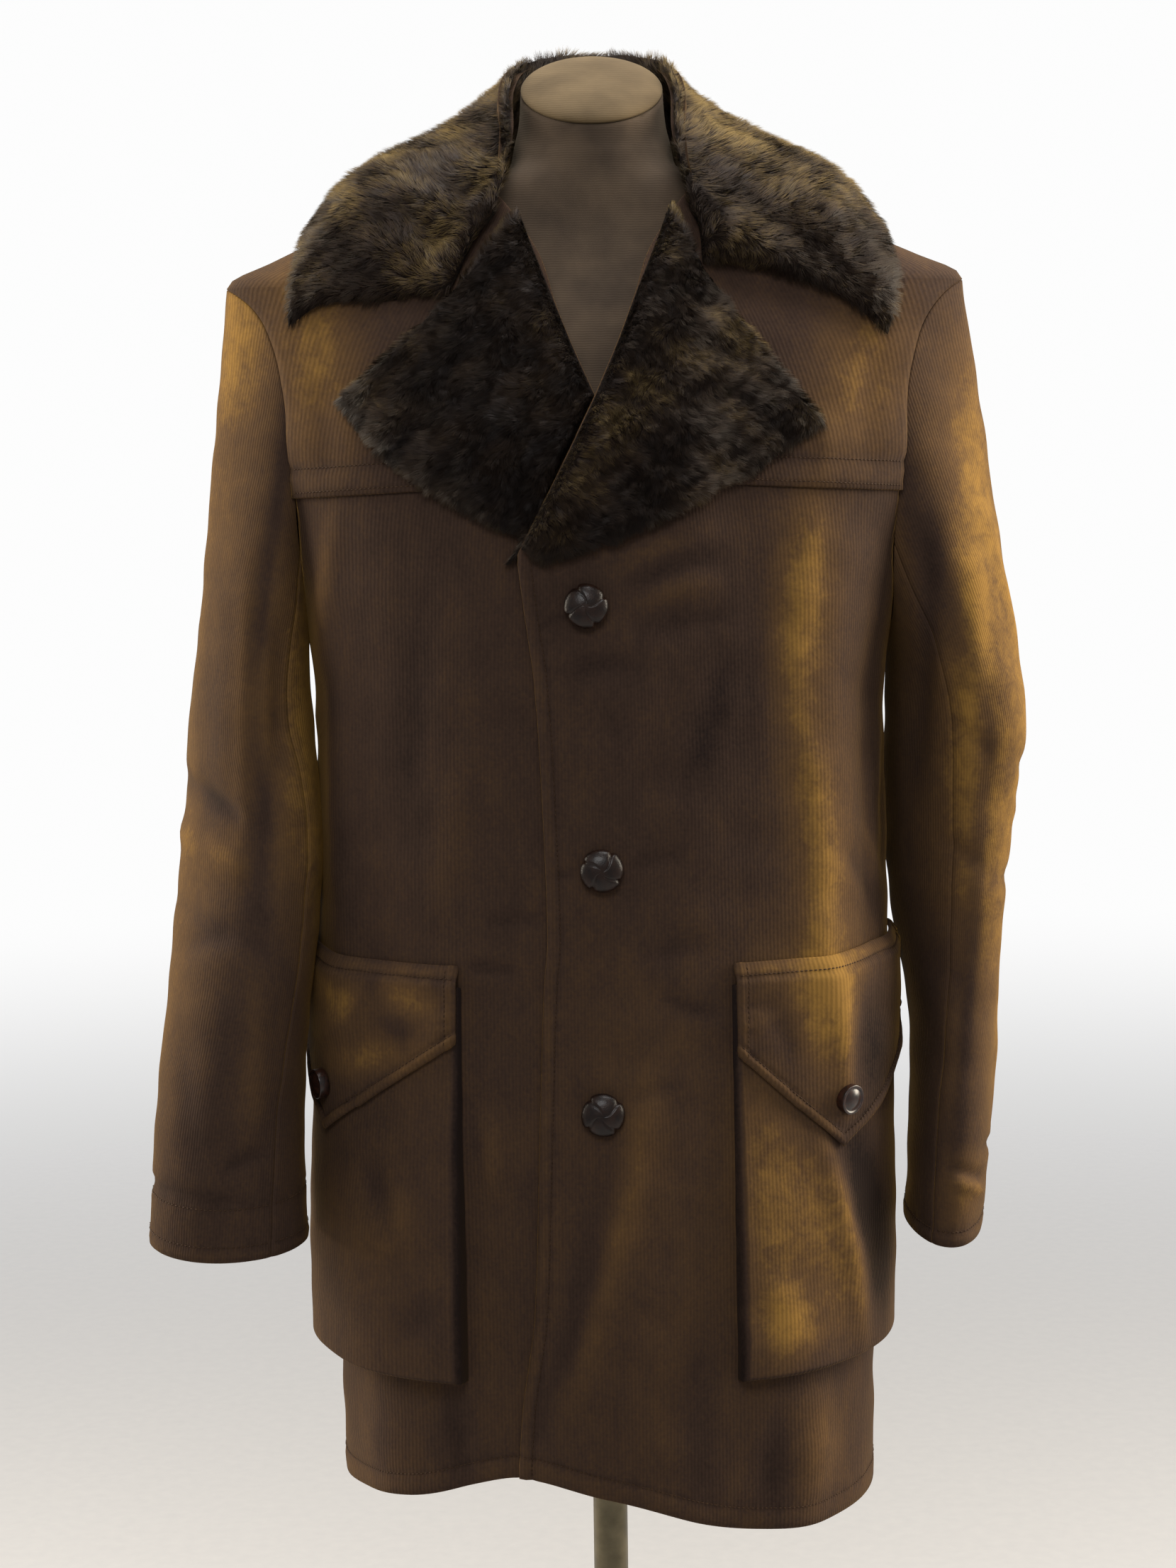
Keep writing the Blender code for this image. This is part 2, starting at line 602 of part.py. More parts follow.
def build_flap(side, name):
    """A pointed flap: straight sides and a lower edge that comes to a blunt point."""
    pocket = POCKETS[side]
    rows = []
    for t in (0.0, 0.10, 0.25, 0.45, 0.65, 0.85, 1.0):
        row = []
        for j in range(13):
            turn = j / 12
            angle = mix(pocket.near + 0.012, pocket.far - 0.012, turn)
            reach = pocket.tip_turn if turn < pocket.tip_turn else 1 - pocket.tip_turn
            low = mix(pocket.flap_tip, pocket.flap_side, abs(turn - pocket.tip_turn) / reach)
            height = mix(WAIST, low, t)
            lift = flap_lift(side, height)
            row.append((side * angle, height, lift, lift + CLOTH))
        rows.append(row)
    laid(f"{name}_flap", body, rows, "corduroy")


def build_button(name, radius, height, angle, level, lift, material):
    """A domed button with a narrower foot, its axis along the normal of the cloth it stands on."""
    profile = [(0, 1), (0.3, 0.98), (0.66, 0.88), (0.92, 0.66), (1, 0.45), (0.95, 0.28), (0.62, 0.12),
               (0.6, 0), (0, 0)]
    button = turned(name, [(radius * r, height * z) for r, z in profile], 14, material)
    turn = normal_of(body, angle, level).to_track_quat("Z", "Y").to_matrix().to_4x4()
    button.matrix_world = Matrix.Translation(skin(body, angle, level, lift)) @ turn


def build_buttons():
    for number, (x, height) in enumerate(BUTTONS, 1):
        lift = side_lift(LEFT, x, height) + CLOTH + 2.4 * GAP
        build_button(f"front_button_{number}", BUTTON_RADIUS, BUTTON_HEIGHT,
                     angle_at(x, height), height, lift, "leather")
    for side, name in ((LEFT, "left"), (RIGHT, "right")):
        pocket = POCKETS[side]
        angle = side * mix(pocket.near, pocket.far, pocket.button_turn)
        lift = flap_lift(side, pocket.button_z) + CLOTH + 2.4 * GAP
        build_button(f"{name}_flap_button", FLAP_BUTTON_RADIUS, FLAP_BUTTON_HEIGHT,
                     angle, pocket.button_z, lift, "horn")


def build_form():
    """Limbless torso, a little inside the cloth all round, with a neck cut off on a slant."""
    turns = [2 * pi * k / FORM_POINTS for k in range(FORM_POINTS)]
    rings = []
    for cut in FORM:
        for angle in turns:
            front, back = front_depth_at(cut.height) - cut.front, back_depth_at(cut.height) - cut.back
            radius = oval(angle, half_width_at(cut.height) - cut.side, front if cos(angle) > 0 else back, 2.3)
            rings.append((radius * sin(angle), -radius * cos(angle), cut.height))
    for cut in FORM_NECK:
        for angle in turns:
            y = -cut.half_depth * cos(angle)
            rings.append((cut.half_width * sin(angle), y, cut.height + cut.slant * y * tan(CAP_TILT)))
    last = len(rings) - FORM_POINTS
    faces = [tuple(range(FORM_POINTS)), tuple(range(last, last + FORM_POINTS))]
    for first in range(0, last, FORM_POINTS):
        for k in range(FORM_POINTS):
            a, b = first + k, first + (k + 1) % FORM_POINTS
            faces.append((a, b, b + FORM_POINTS, a + FORM_POINTS))
    make("form_torso", rings, faces, "jersey")


def build_stand():
    """The neck's slanted cap, and under the torso a socket, a pole and a round base."""
    cap_depth = NECK_DEPTH / cos(CAP_TILT)
    dome = [(0, 1), (0.5, 0.92), (0.82, 0.66), (0.97, 0.35), (1.0, 0.12), (0.985, 0), (0, 0)]
    cap = turned("form_neck_cap", dome, FORM_POINTS, "jersey")
    size = Matrix.Diagonal((NECK_RADIUS, cap_depth, CAP_RISE, 1))
    place = Matrix.Translation((0, 0, NECK_TOP + GAP)) @ Matrix.Rotation(CAP_TILT, 4, "X")
    cap.matrix_world = place @ size
    torso_bottom = FORM[0].height
    socket = [(0, -GAP), (0.036, -GAP), (0.036, -0.006), (0.020, -0.010), (0.020, -SOCKET_DEPTH),
              (0, -SOCKET_DEPTH)]
    turned("stand_socket", [(r, torso_bottom + z) for r, z in socket], 20, "metal")
    pole_top, pole_bottom = torso_bottom - SOCKET_DEPTH - GAP, BASE_THICKNESS + GAP
    pole = [(0, pole_top), (POLE_RADIUS, pole_top), (POLE_RADIUS, pole_bottom), (0, pole_bottom)]
    turned("stand_pole", pole, 16, "metal")
    base = [(0, BASE_THICKNESS), (0.030, BASE_THICKNESS), (BASE_RADIUS - 0.006, 0.010), (BASE_RADIUS, 0.006),
            (BASE_RADIUS, 0.002), (BASE_RADIUS - 0.002, 0), (0, 0)]
    turned("stand_base", base, 32, "metal")


for leftover in list(bpy.data.objects):
    bpy.data.objects.remove(leftover)
part_collection = bpy.data.collections.new("corduroy_coat_on_form")
bpy.context.scene.collection.children.link(part_collection)

build_back()
build_collar()
for wearer_side, side_name in ((LEFT, "left"), (RIGHT, "right")):
    build_fronts(wearer_side, side_name)
    build_yoke(wearer_side, side_name)
    build_lapel(wearer_side, side_name)
    build_sleeve(wearer_side, side_name)
    build_pocket(wearer_side, side_name)
    build_flap(wearer_side, side_name)
build_buttons()
build_form()
build_stand()
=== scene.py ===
"""Looks of a corduroy car coat with a deep fur collar, on its dress form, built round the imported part.

Metres, +Z up, in the part's own frame: the coat's front faces -Y and the wearer's left is +X. Each cloth
piece is a thin shell on its solid's surface, at a finer grid, with creases, pressed edges and sewing. The
fur is joined blades of pile rooted on the collar and lapels.
"""

from collections import namedtuple
from math import pi, radians

import bpy
import numpy as np
from mathutils import Matrix, Vector
from mathutils.kdtree import KDTree


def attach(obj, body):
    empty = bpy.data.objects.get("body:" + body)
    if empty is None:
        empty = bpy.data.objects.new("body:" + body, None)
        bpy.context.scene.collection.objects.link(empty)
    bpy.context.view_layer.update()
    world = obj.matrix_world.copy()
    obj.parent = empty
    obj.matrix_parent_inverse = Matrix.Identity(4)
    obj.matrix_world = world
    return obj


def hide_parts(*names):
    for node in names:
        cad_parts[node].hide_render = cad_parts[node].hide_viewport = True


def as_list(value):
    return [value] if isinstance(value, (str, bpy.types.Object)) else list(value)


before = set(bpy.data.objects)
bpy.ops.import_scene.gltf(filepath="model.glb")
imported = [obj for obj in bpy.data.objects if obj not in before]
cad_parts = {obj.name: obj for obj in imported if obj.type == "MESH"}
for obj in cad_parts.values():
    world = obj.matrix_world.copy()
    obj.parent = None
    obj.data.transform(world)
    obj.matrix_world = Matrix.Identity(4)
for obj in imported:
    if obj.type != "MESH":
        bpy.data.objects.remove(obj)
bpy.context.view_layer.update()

# Sizes shared with the part's source, metres
CLOTH = 0.0022
PILE = 0.009
GAP = 0.0003
LAY = 0.0010
HEM = 0.622
WAIST = 0.998
BREAK = 1.268
ARMPIT = 1.208
SHOULDER = 1.445
NECK = 1.525
LEFT, RIGHT = 1, -1
SIDES = ((LEFT, "left"), (RIGHT, "right"))
RING = 18
SEAM_ANGLE = 0.0009
ARMHOLE_FRONT = radians(20)
ARMHOLE_BACK = radians(21)
YOKE_RISE = 0.016
YOKE_LAP = 0.012

Section = namedtuple("Section", "height half_width front_depth back_depth corner")
BODY = [
    Section(0.560, 0.1865, 0.160, 0.146, 2.5),
    Section(0.622, 0.1870, 0.160, 0.146, 2.5),
    Section(0.720, 0.1880, 0.160, 0.146, 2.5),
    Section(0.850, 0.1920, 0.158, 0.144, 2.5),
    Section(0.990, 0.1980, 0.155, 0.138, 2.5),
    Section(1.080, 0.1970, 0.153, 0.138, 2.5),
    Section(1.160, 0.1955, 0.152, 0.142, 2.5),
    Section(1.250, 0.2070, 0.147, 0.142, 2.5),
    Section(1.330, 0.2260, 0.133, 0.133, 2.45),
    Section(1.400, 0.2430, 0.109, 0.117, 2.4),
    Section(1.445, 0.2500, 0.088, 0.104, 2.3),
    Section(1.460, 0.2220, 0.081, 0.100, 2.3),
    Section(1.485, 0.1650, 0.070, 0.092, 2.25),
    Section(1.510, 0.1090, 0.060, 0.085, 2.2),
    Section(1.525, 0.0750, 0.056, 0.082, 2.2),
    Section(1.560, 0.0700, 0.052, 0.080, 2.2),
]

# The largest folds, which the solids have too: ridges are positive, angles run from the middle front
Fold = namedtuple("Fold", "top top_angle bottom bottom_angle half_width height")
FOLDS = [
    Fold(1.330, 53, 0.900, 49, 0.022, 0.0060),
    Fold(1.300, 68, 0.940, 66, 0.018, -0.0050),
    Fold(1.300, -64, 0.900, -58, 0.022, 0.0055),
    Fold(1.250, 28, 1.090, 8, 0.016, -0.0035),
    Fold(0.930, 13, 0.560, -6, 0.036, 0.0060),
    Fold(0.860, -24, 0.560, -22, 0.034, -0.0045),
    Fold(0.760, 42, 0.500, 44, 0.030, 0.0070),
    Fold(0.800, -52, 0.500, -50, 0.030, 0.0050),
    Fold(1.150, 146, 0.560, 141, 0.030, 0.0070),
    Fold(1.250, -140, 0.560, -147, 0.032, 0.0060),
    Fold(0.980, 176, 0.560, 172, 0.030, -0.0060),
    Fold(1.360, 118, 1.060, 128, 0.022, -0.0050),
    Fold(1.360, -120, 1.080, -129, 0.022, -0.0050),
]

FRONT_EDGE = [(0.560, -0.064), (0.655, -0.060), (0.755, -0.0485), (0.860, -0.044), (0.981, -0.039),
              (1.020, -0.036), (1.130, -0.039), (1.185, -0.042), (1.234, -0.048), (1.268, -0.0515)]
HEM_LINE = [(-180, 0.612), (-90, 0.612), (-47, 0.628), (-21, 0.648), (0, 0.636), (33, 0.608), (60, 0.602),
            (90, 0.602), (180, 0.612)]
HIDDEN_EDGE = -0.045
ROLL_LINE = [(1.268, -0.0515), (1.3746, 0.0030), (1.430, 0.0262), (1.500, 0.0515), (1.560, 0.066)]
NECK_EDGE = [(1.268, -0.0515), (1.3746, 0.0030), (1.430, 0.0262), (1.460, 0.0355), (1.485, 0.0500),
             (1.500, 0.061), (1.512, 0.0725), (1.525, 0.0745), (1.560, 0.069)]

Station = namedtuple("Station", "height out forward half_width half_depth twist")
SLEEVES = {
    LEFT: [
        Station(1.170, 0.2490, -0.012, 0.0450, 0.080, -8),
        Station(1.080, 0.2450, -0.016, 0.0400, 0.077, -14),
        Station(1.000, 0.2435, -0.006, 0.0345, 0.074, -11),
        Station(0.930, 0.2440, 0.010, 0.0300, 0.071, -4),
        Station(0.855, 0.2410, 0.023, 0.0300, 0.067, 0),
        Station(0.791, 0.2370, 0.032, 0.0270, 0.064, 0),
    ],
    RIGHT: [
        Station(1.170, 0.2440, 0.010, 0.0400, 0.080, 9),
        Station(1.080, 0.2445, 0.032, 0.0430, 0.073, 19),
        Station(0.985, 0.2500, 0.062, 0.0470, 0.065, 21),
        Station(0.890, 0.2580, 0.080, 0.0510, 0.056, 14),
        Station(0.800, 0.2600, 0.092, 0.0540, 0.048, 8),
    ],
}
CUFF_DIP = 0.004
FRONT_SEAM, BACK_SEAM = 6, 13

CollarCut = namedtuple("CollarCut", "seam_angle seam_height seam_lift roll_x roll_y roll_height "
                                    "edge_angle edge_height bulge")
COLLAR_ENDS = {
    LEFT: [
        CollarCut(40.5, 1.4530, 0.0160, 0.0900, -0.0970, 1.4620, 68.5, 1.4080, 0.007),
        CollarCut(42.0, 1.4760, 0.0160, 0.0780, -0.0890, 1.4950, 72.0, 1.4330, 0.011),
    ],
    RIGHT: [
        CollarCut(48.0, 1.4350, 0.0150, 0.1200, -0.0970, 1.4420, 71.5, 1.4190, 0.008),
        CollarCut(46.0, 1.4680, 0.0145, 0.0880, -0.0870, 1.4850, 73.0, 1.4390, 0.010),
    ],
}
COLLAR = [
    CollarCut(42.7, 1.4980, 0.0145, 0.0590, -0.0700, 1.5190, 76.0, 1.4550, 0.017),
    CollarCut(66.0, 1.5256, -0.0095, 0.0540, -0.0400, 1.5500, 90.0, 1.4730, 0.021),
    CollarCut(95.0, 1.5256, -0.0095, 0.0540, 0.0000, 1.5800, 112.0, 1.4640, 0.019),
    CollarCut(140.0, 1.5256, -0.0095, 0.0410, 0.0510, 1.5970, 145.0, 1.4540, 0.013),
    CollarCut(180.0, 1.5256, -0.0095, 0.0000, 0.0720, 1.6010, 180.0, 1.4500, 0.012),
]
ROLL_WIDTH = 0.021
EDGE_LIFT = 0.0142

Lapel = namedtuple("Lapel", "tip_x tip_z notch_x notch_z low_x low_z")
LAPELS = {
    LEFT: Lapel(0.147, 1.352, 0.070, 1.4465, 0.050, 1.286),
    RIGHT: Lapel(0.167, 1.371, 0.099, 1.4290, 0.105, 1.280),
}
TIP_SHARE = 0.62
LAPEL_TOP = 1.4930

Pocket = namedtuple("Pocket", "near far depth flap_side flap_tip tip_turn button_turn button_z")
POCKETS = {
    LEFT: Pocket(radians(29.5), radians(91), 0.017, 0.938, 0.868, 0.37, 0.38, 0.9020),
    RIGHT: Pocket(radians(33.0), radians(93), 0.022, 0.948, 0.876, 0.54, 0.54, 0.9080),
}
POCKET_TOP, POCKET_BOTTOM = 0.984, 0.714
POCKET_TOP_DEPTH = 0.0075

BUTTONS = [(-0.0086, 1.2364), (-0.0008, 1.0635), (-0.0016, 0.9005)]
BUTTON_RADIUS, BUTTON_HEIGHT = 0.0148, 0.0105
FLAP_BUTTON_RADIUS, FLAP_BUTTON_HEIGHT = 0.0102, 0.0070

# Creases that only the looks have, in millimetres and by the view that shows them: the two ends (across,
# height), how far the line bows sideways, half width and height. Across is x, and y in the side views
Crease = namedtuple("Crease", "across_1 height_1 across_2 height_2 bow half_width height")
BODY_CREASES = {
    "front": [
        # Pulls from the top button towards the chest
        (12, 1260, 80, 1286, 3, 6, 2.2),
        (14, 1247, 84, 1268, 3, 6, -2.2),
        (20, 1233, 82, 1253, 3, 7, 2.2),
        (18, 1218, 90, 1228, 2, 8, -2),
        (80, 1218, 50, 1105, 6, 11, -2.6),
        (-34, 1192, 30, 1198, 3, 8, -1.6),
        (-40, 1223, -20, 1232, 0, 4, -1.4),
        # Pulls at the two lower buttons
        (-36, 1059, -12, 1063, 0, 4.5, -1.3),
        (12, 1064, 56, 1072, 2, 6, -1.4),
        (10, 904, 48, 920, 2, 6, -1.6),
        # The chest's lit ridge wanders, and the side behind it has short slanting creases
        (142, 1308, 128, 1150, -3, 10, 2.4),
        (129, 1175, 147, 1040, 3, 9, 2.2),
        (147, 1070, 143, 945, 0, 10, 2.2),
        (158, 1072, 188, 1008, 3, 5, -1.8),
        (168, 1085, 194, 1030, 2, 4.5, 1.4),
        (106, 1290, 88, 1120, 4, 14, -2.2),
        (-168, 1312, -201, 1090, -4, 7, 2.2),
        (-120, 1260, -134, 1070, 4, 14, -2),
        (-90, 1150, -108, 1030, 2, 12, 1.6),
        # Short level creases at the waist, from the flaps towards the middle
        (-94, 998.5, -54, 995.5, 0, 4, -2.2),
        (-82, 1029, -34, 1030, 1, 5, -1.2),
        (78, 964, 34, 980, 2, 5, -2.2),
        (70, 1012, 20, 1003, -2, 7, -1.3),
        # The skirt's slanting ridge and the dip beside it
        (34, 950, -34, 676, 6, 11, 4.2),
        (12, 890, -54, 662, 6, 13, -3.2),
        (-78, 908, -78, 833, 1, 6, 1.9),
        (-108, 710, -100, 625, 2, 11, -2.2),
        (141, 705, 134, 610, 2, 12, 3.2),
        (113, 695, 106, 608, 0, 10, -2.2),
        (60, 760, 52, 625, 3, 13, -1.8),
        # Pockets and flaps
        (133, 890, 161, 718, 4, 9, 5),
        (133, 900, 161, 708, 4, 3.5, 1.8),
        (158, 880, 184, 738, 0, 12, -3.4),
        (100, 790, 118, 730, 4, 11, 2.2),
        (-154, 868, -139, 808, 3, 8, -2.4),
        (-126, 852, -152, 786, 2, 12, 2.2),
        (-112, 782, -132, 736, 2, 10, -1.8),
        (-158, 986, -187, 936, 4, 8, 2.2),
        (-122, 962, -152, 912, 3, 10, -2),
        (-100, 978, -116, 935, 2, 8, 1.6),
        (150, 994, 152, 878, 0, 8.5, 3.6),
        (150, 990, 152, 878, 0, 3.5, 1.4),
        (98, 976, 120, 928, 4, 7, -1.8),
        (86, 954, 114, 964, 2, 5, 1.4),
        # Yokes
        (152, 1362, 146, 1312, 1, 5.5, 1.3),
        (190, 1400, 176, 1318, -4, 10, -2.2),
        (-186, 1390, -176, 1320, 3, 9, -2),
    ],
    "back": [
        # Back: drags from the armholes, shallow creases at the waist and long hanging folds
        (-118, 1310, -52, 1100, 10, 16, -3.2),
        (126, 1325, 60, 1130, -10, 15, -3),
        (-150, 1250, -100, 1090, 6, 11, 2.4),
        (152, 1260, 112, 1070, -6, 12, 2.6),
        (-142, 980, -72, 962, 4, 8, -2),
        (132, 1002, 64, 984, -4, 9, -2.2),
        (-14, 994, 52, 980, 3, 8, -1.6),
        (-100, 1018, -44, 1012, 2, 7, 1.4),
        (-30, 1060, -46, 660, 6, 19, 3.4),
        (54, 1020, 70, 650, -6, 18, 3),
        (-120, 860, -104, 640, 2, 14, -3.2),
        (132, 850, 114, 630, 0, 14, 3),
    ],
    "left": [
        # Sides, mostly behind the sleeves
        (-30, 1160, -60, 1020, 4, 12, -3),
        (40, 1150, 62, 980, -4, 12, 3),
        (30, 960, 24, 640, 4, 16, 3),
    ],
    "right": [
        (-20, 1150, -52, 1000, 4, 12, -3),
        (46, 1160, 66, 1000, -5, 12, 2.8),
        (34, 940, 44, 640, 3, 15, -2.8),
    ],
}
SLEEVE_CREASES = {
    LEFT: {
        "front": [
            (224, 1290, 216, 1080, 2, 7.5, -3.2),
            (257, 1265, 254, 1005, -3, 8.5, 3.4),
            (236, 1150, 268, 1118, 3, 6, -1.8),
            (232, 1065, 262, 1042, 3, 6, -2),
            (238, 970, 232, 860, 3, 8, 2.4),
            (232, 842, 268, 824, 3, 3.6, -3.4),
            (234, 832, 266, 814, 3, 3.6, 2.6),
        ],
        "left": [
            (-60, 1120, 40, 1080, 6, 8, -2.6),
            (-50, 1085, 50, 1045, 7, 8, 2.6),
            (-70, 1035, 30, 1020, 5, 7, -2.2),
            (10, 1330, 22, 1160, 6, 14, -2.6),
            (-36, 1300, -26, 1170, 4, 11, 2.4),
            (-80, 850, 0, 834, 4, 4.5, -3),
            (-20, 970, -40, 860, 3, 10, 2.4),
        ],
        "right": [
            (-20, 1030, -20, 780, 0, 70, -4.5),
        ],
        "back": [
            (262, 1110, 226, 1070, 3, 7, -2.6),
            (264, 1070, 228, 1040, 3, 7, 2.4),
            (244, 1300, 236, 1140, 4, 10, -2.6),
        ],
    },
    RIGHT: {
        "front": [
            (-218, 1245, -224, 1075, 3, 7, -3.4),
            (-236, 1275, -244, 1040, 3, 8.5, 3.2),
            (-262, 1230, -270, 1050, -2, 11, -2),
            (-290, 1115, -234, 1080, 5, 7, -2.4),
            (-286, 1078, -238, 1056, 4, 6.5, 2.2),
            (-292, 1000, -246, 1015, 3, 7, -2),
            (-236, 1010, -240, 865, 4, 9.5, 2.4),
            (-282, 960, -276, 850, -3, 10, -1.8),
            (-316, 842, -236, 835, 2, 4, -1.8),
            (-262, 856, -226, 870, 3, 5, -2.2),
        ],
        "right": [
            (-110, 1090, 10, 1110, 6, 8, -2.8),
            (-120, 1050, 0, 1075, 6, 8, 2.6),
            (-130, 1010, -30, 1030, 5, 7, -2.2),
            (0, 1330, -22, 1160, 5, 13, -2.6),
            (-130, 842, -60, 838, 2, 4, -2.6),
        ],
        "left": [
            (-50, 1270, -75, 960, 0, 40, 6.5),
        ],
        "back": [
            (-264, 1120, -228, 1090, 3, 7, -2.6),
            (-268, 1080, -232, 1060, 3, 7, 2.4),
            (-246, 1300, -238, 1150, 4, 10, -2.6),
        ],
    },
}
# Strokes of painted light on the corduroy, placed as creases are: golden painted highlights on the lit
# ridges, shoulders, yokes and facets, with some of the nap's own wear, and painted shade where the share is
# negative; the last number is the share of gold in thousandths
BODY_NAP_AND_LIGHT_STROKES = {
    "front": [
        (143, 1325, 128, 1145, -3, 23, 480),
        (128, 1180, 147, 1025, 3, 21, 440),
        (147, 1075, 144, 925, 0, 19, 380),
        (188, 1450, 164, 1310, 0, 30, 420),
        (-202, 1505, -174, 1310, 0, 30, 460),
        (-172, 1315, -200, 1085, -4, 6.5, 180),
        (88, 986, 192, 986, 0, 30, 240),
        (138, 996, 140, 876, 0, 14, 220),
        (172, 996, 170, 880, 0, 14, -240),
        (-196, 978, -160, 966, 0, 13, 400),
        (-148, 982, -104, 970, 0, 12, 340),
        (-152, 962, -124, 948, 0, 8, -120),
        (-190, 922, -110, 944, 0, 12, 320),
        (-205, 970, -85, 940, 0, 36, 120),
        (96, 940, 114, 710, 2, 20, 380),
        (118, 895, 146, 720, 4, 14, 340),
        (151, 895, 178, 720, 4, 12, -260),
        (94, 775, 130, 728, 0, 15, 340),
        (-176, 860, -150, 760, 0, 22, 120),
        (132, 710, 150, 610, 0, 20, 120),
        # Broad faint ones low on the skirt, which make it paler all over
        (40, 1080, 30, 540, 0, 85, 100),
        (-140, 960, -140, 560, 0, 70, 70),
    ],
    "back": [
        (-200, 1400, 200, 1400, 0, 45, 280),
        (-150, 1260, -98, 1060, 6, 14, 240),
        (152, 1270, 110, 1050, -6, 14, 260),
        (-30, 1080, -46, 640, 6, 20, 180),
        (54, 1040, 70, 640, -6, 20, 180),
    ],
}
# Painted highlights on the sleeves' heads and outer sides, where they turn to the light
SLEEVE_NAP_AND_LIGHT_STROKES = {
    "front": [
        (258, 1420, 256, 970, -3, 16, 340),
        (250, 860, 244, 790, 0, 20, 300),
        (-226, 1510, -262, 1350, 0, 30, 400),
        (-282, 1360, -302, 880, -6, 18, 220),
    ],
    "right": [
        (-20, 1560, -30, 1240, 0, 60, 200),
        (-10, 1450, -95, 790, 0, 55, 220),
    ],
    "left": [
        (-20, 1450, -30, 780, 0, 55, 560),
    ],
    "back": [
        (262, 1400, 252, 850, 0, 18, 240),
        (-262, 1400, -280, 850, 0, 18, 240),
    ],
}
# Folds of the thick collar, across its fall
COLLAR_CREASES = {
    "front": [
        (70, 1545, 180, 1470, 4, 11, 2.2),
        (68, 1520, 170, 1445, 4, 9, -2.6),
        (72, 1500, 160, 1430, 3, 10, 2),
        (-85, 1535, -120, 1450, 6, 12, -2.6),
        (-115, 1515, -170, 1435, 4, 11, 2.2),
        (-75, 1490, -100, 1440, 2, 9, 2),
    ],
    "back": [
        (-100, 1570, -130, 1460, 5, 13, -2.4),
        (30, 1580, 50, 1460, 4, 14, 2),
    ],
}
Drape = namedtuple("Drape", "creases strokes")
BODY_DRAPE = Drape(BODY_CREASES, BODY_NAP_AND_LIGHT_STROKES)
VIEWS = {
    "front": (0, (0, -1, 0)),
    "back": (0, (0, 1, 0)),
    "left": (1, (1, 0, 0)),
    "right": (1, (-1, 0, 0)),
}

# Each sheet's cut as it shows: width, length and flat area, and what it hangs on or is sewn to
Cut = namedtuple("Cut", "width length area held rests_on")
CUTS = {
    "back": Cut(0.600, 0.930, 0.498, "hung", ["form_torso"]),
    "collar": Cut(0.750, 0.250, 0.130, "folded", ["back", "left_yoke", "right_yoke"]),
    "left_front": Cut(0.365, 0.755, 0.236, "hung", ["left_yoke"]),
    "right_front": Cut(0.345, 0.745, 0.229, "hung", ["right_yoke"]),
    "left_yoke": Cut(0.250, 0.260, 0.051, "hung", ["form_torso"]),
    "right_yoke": Cut(0.250, 0.260, 0.050, "hung", ["form_torso"]),
    "left_lapel": Cut(0.155, 0.340, 0.0217, "folded", ["left_front"]),
    "right_lapel": Cut(0.170, 0.285, 0.0209, "folded", ["right_front"]),
    "left_top_sleeve": Cut(0.250, 0.670, 0.136, "hung", ["left_yoke", "back"]),
    "right_top_sleeve": Cut(0.250, 0.665, 0.135, "hung", ["right_yoke", "back"]),
    "left_under_sleeve": Cut(0.160, 0.525, 0.066, "hung", ["left_top_sleeve"]),
    "right_under_sleeve": Cut(0.160, 0.530, 0.0654, "hung", ["right_top_sleeve"]),
    "left_pocket": Cut(0.250, 0.285, 0.066, "hung", ["left_front"]),
    "right_pocket": Cut(0.260, 0.290, 0.068, "hung", ["right_front"]),
    "left_flap": Cut(0.265, 0.135, 0.0231, "hung", ["left_front"]),
    "right_flap": Cut(0.265, 0.125, 0.0204, "hung", ["right_front"]),
}

STITCH, THREAD = 0.0033, 0.00045     # stitch length and the thread's radius
EDGE_PUFF, FLAP_PUFF = 0.0007, 0.0018     # how far the cloth swells between an edge and its stitches
# The gold that follows a crease or a welt is painted light: ridges and puffs painted lighter, troughs and
# stitch dips darker
CREASE_PAINTED_LIGHT, WELT_PAINTED_LIGHT = 55, 70     # share of gold for each metre that a crease or a welt rises
FUR_LENGTH, BLADE = 0.0074, 0.00019     # the pile's length and a blade's half width


def curve(points):
    """A smooth curve through (key, value) points that doesn't swing past them, for arrays of keys."""
    keys, values = np.array(points, float).T
    steps = np.diff(values) / np.diff(keys)
    product = steps[:-1] * steps[1:]
    total = np.where(product > 0, steps[:-1] + steps[1:], 1.0)
    slopes = np.concatenate([steps[:1], np.where(product > 0, 2 * product / total, 0.0), steps[-1:]])

    def at(key):
        i = np.clip(np.searchsorted(keys, key) - 1, 0, len(keys) - 2)
        width = keys[i + 1] - keys[i]
        t = np.clip((key - keys[i]) / width, 0.0, 1.0)
        start = t * (1 - t) ** 2 * width * slopes[i]
        end = t * t * (t - 1) * width * slopes[i + 1]
        return values[i] + (values[i + 1] - values[i]) * t * t * (3 - 2 * t) + start + end

    return at


def column(table, name):
    return curve([(row.height, getattr(row, name)) for row in table])


def spline(points, t):
    """Places t on smooth lines through points, one unit apart; points has an entry for each knot."""
    points = np.asarray(points)
    points = np.concatenate([2 * points[:1] - points[1:2], points, 2 * points[-1:] - points[-2:-1]])
    i = np.clip(t.astype(int), 0, len(points) - 4)
    f = (t - i)[..., None]
    a, b, c, d = (np.take_along_axis(points, (i + k)[None, ..., None], axis=0)[0] for k in range(4))
    square, cube = 2 * a - 5 * b + 4 * c - d, 3 * b - 3 * c + d - a
    return 0.5 * (2 * b + (c - a) * f + square * f ** 2 + cube * f ** 3)


def mix(a, b, t):
    return a + (b - a) * t


def ramp(low, high, value):
    """0 below low, 1 above high and smooth between."""
    t = np.clip((value - low) / (high - low), 0.0, 1.0)
    return t * t * (3 - 2 * t)


def unit(vectors):
    return vectors / np.linalg.norm(vectors, axis=-1, keepdims=True)


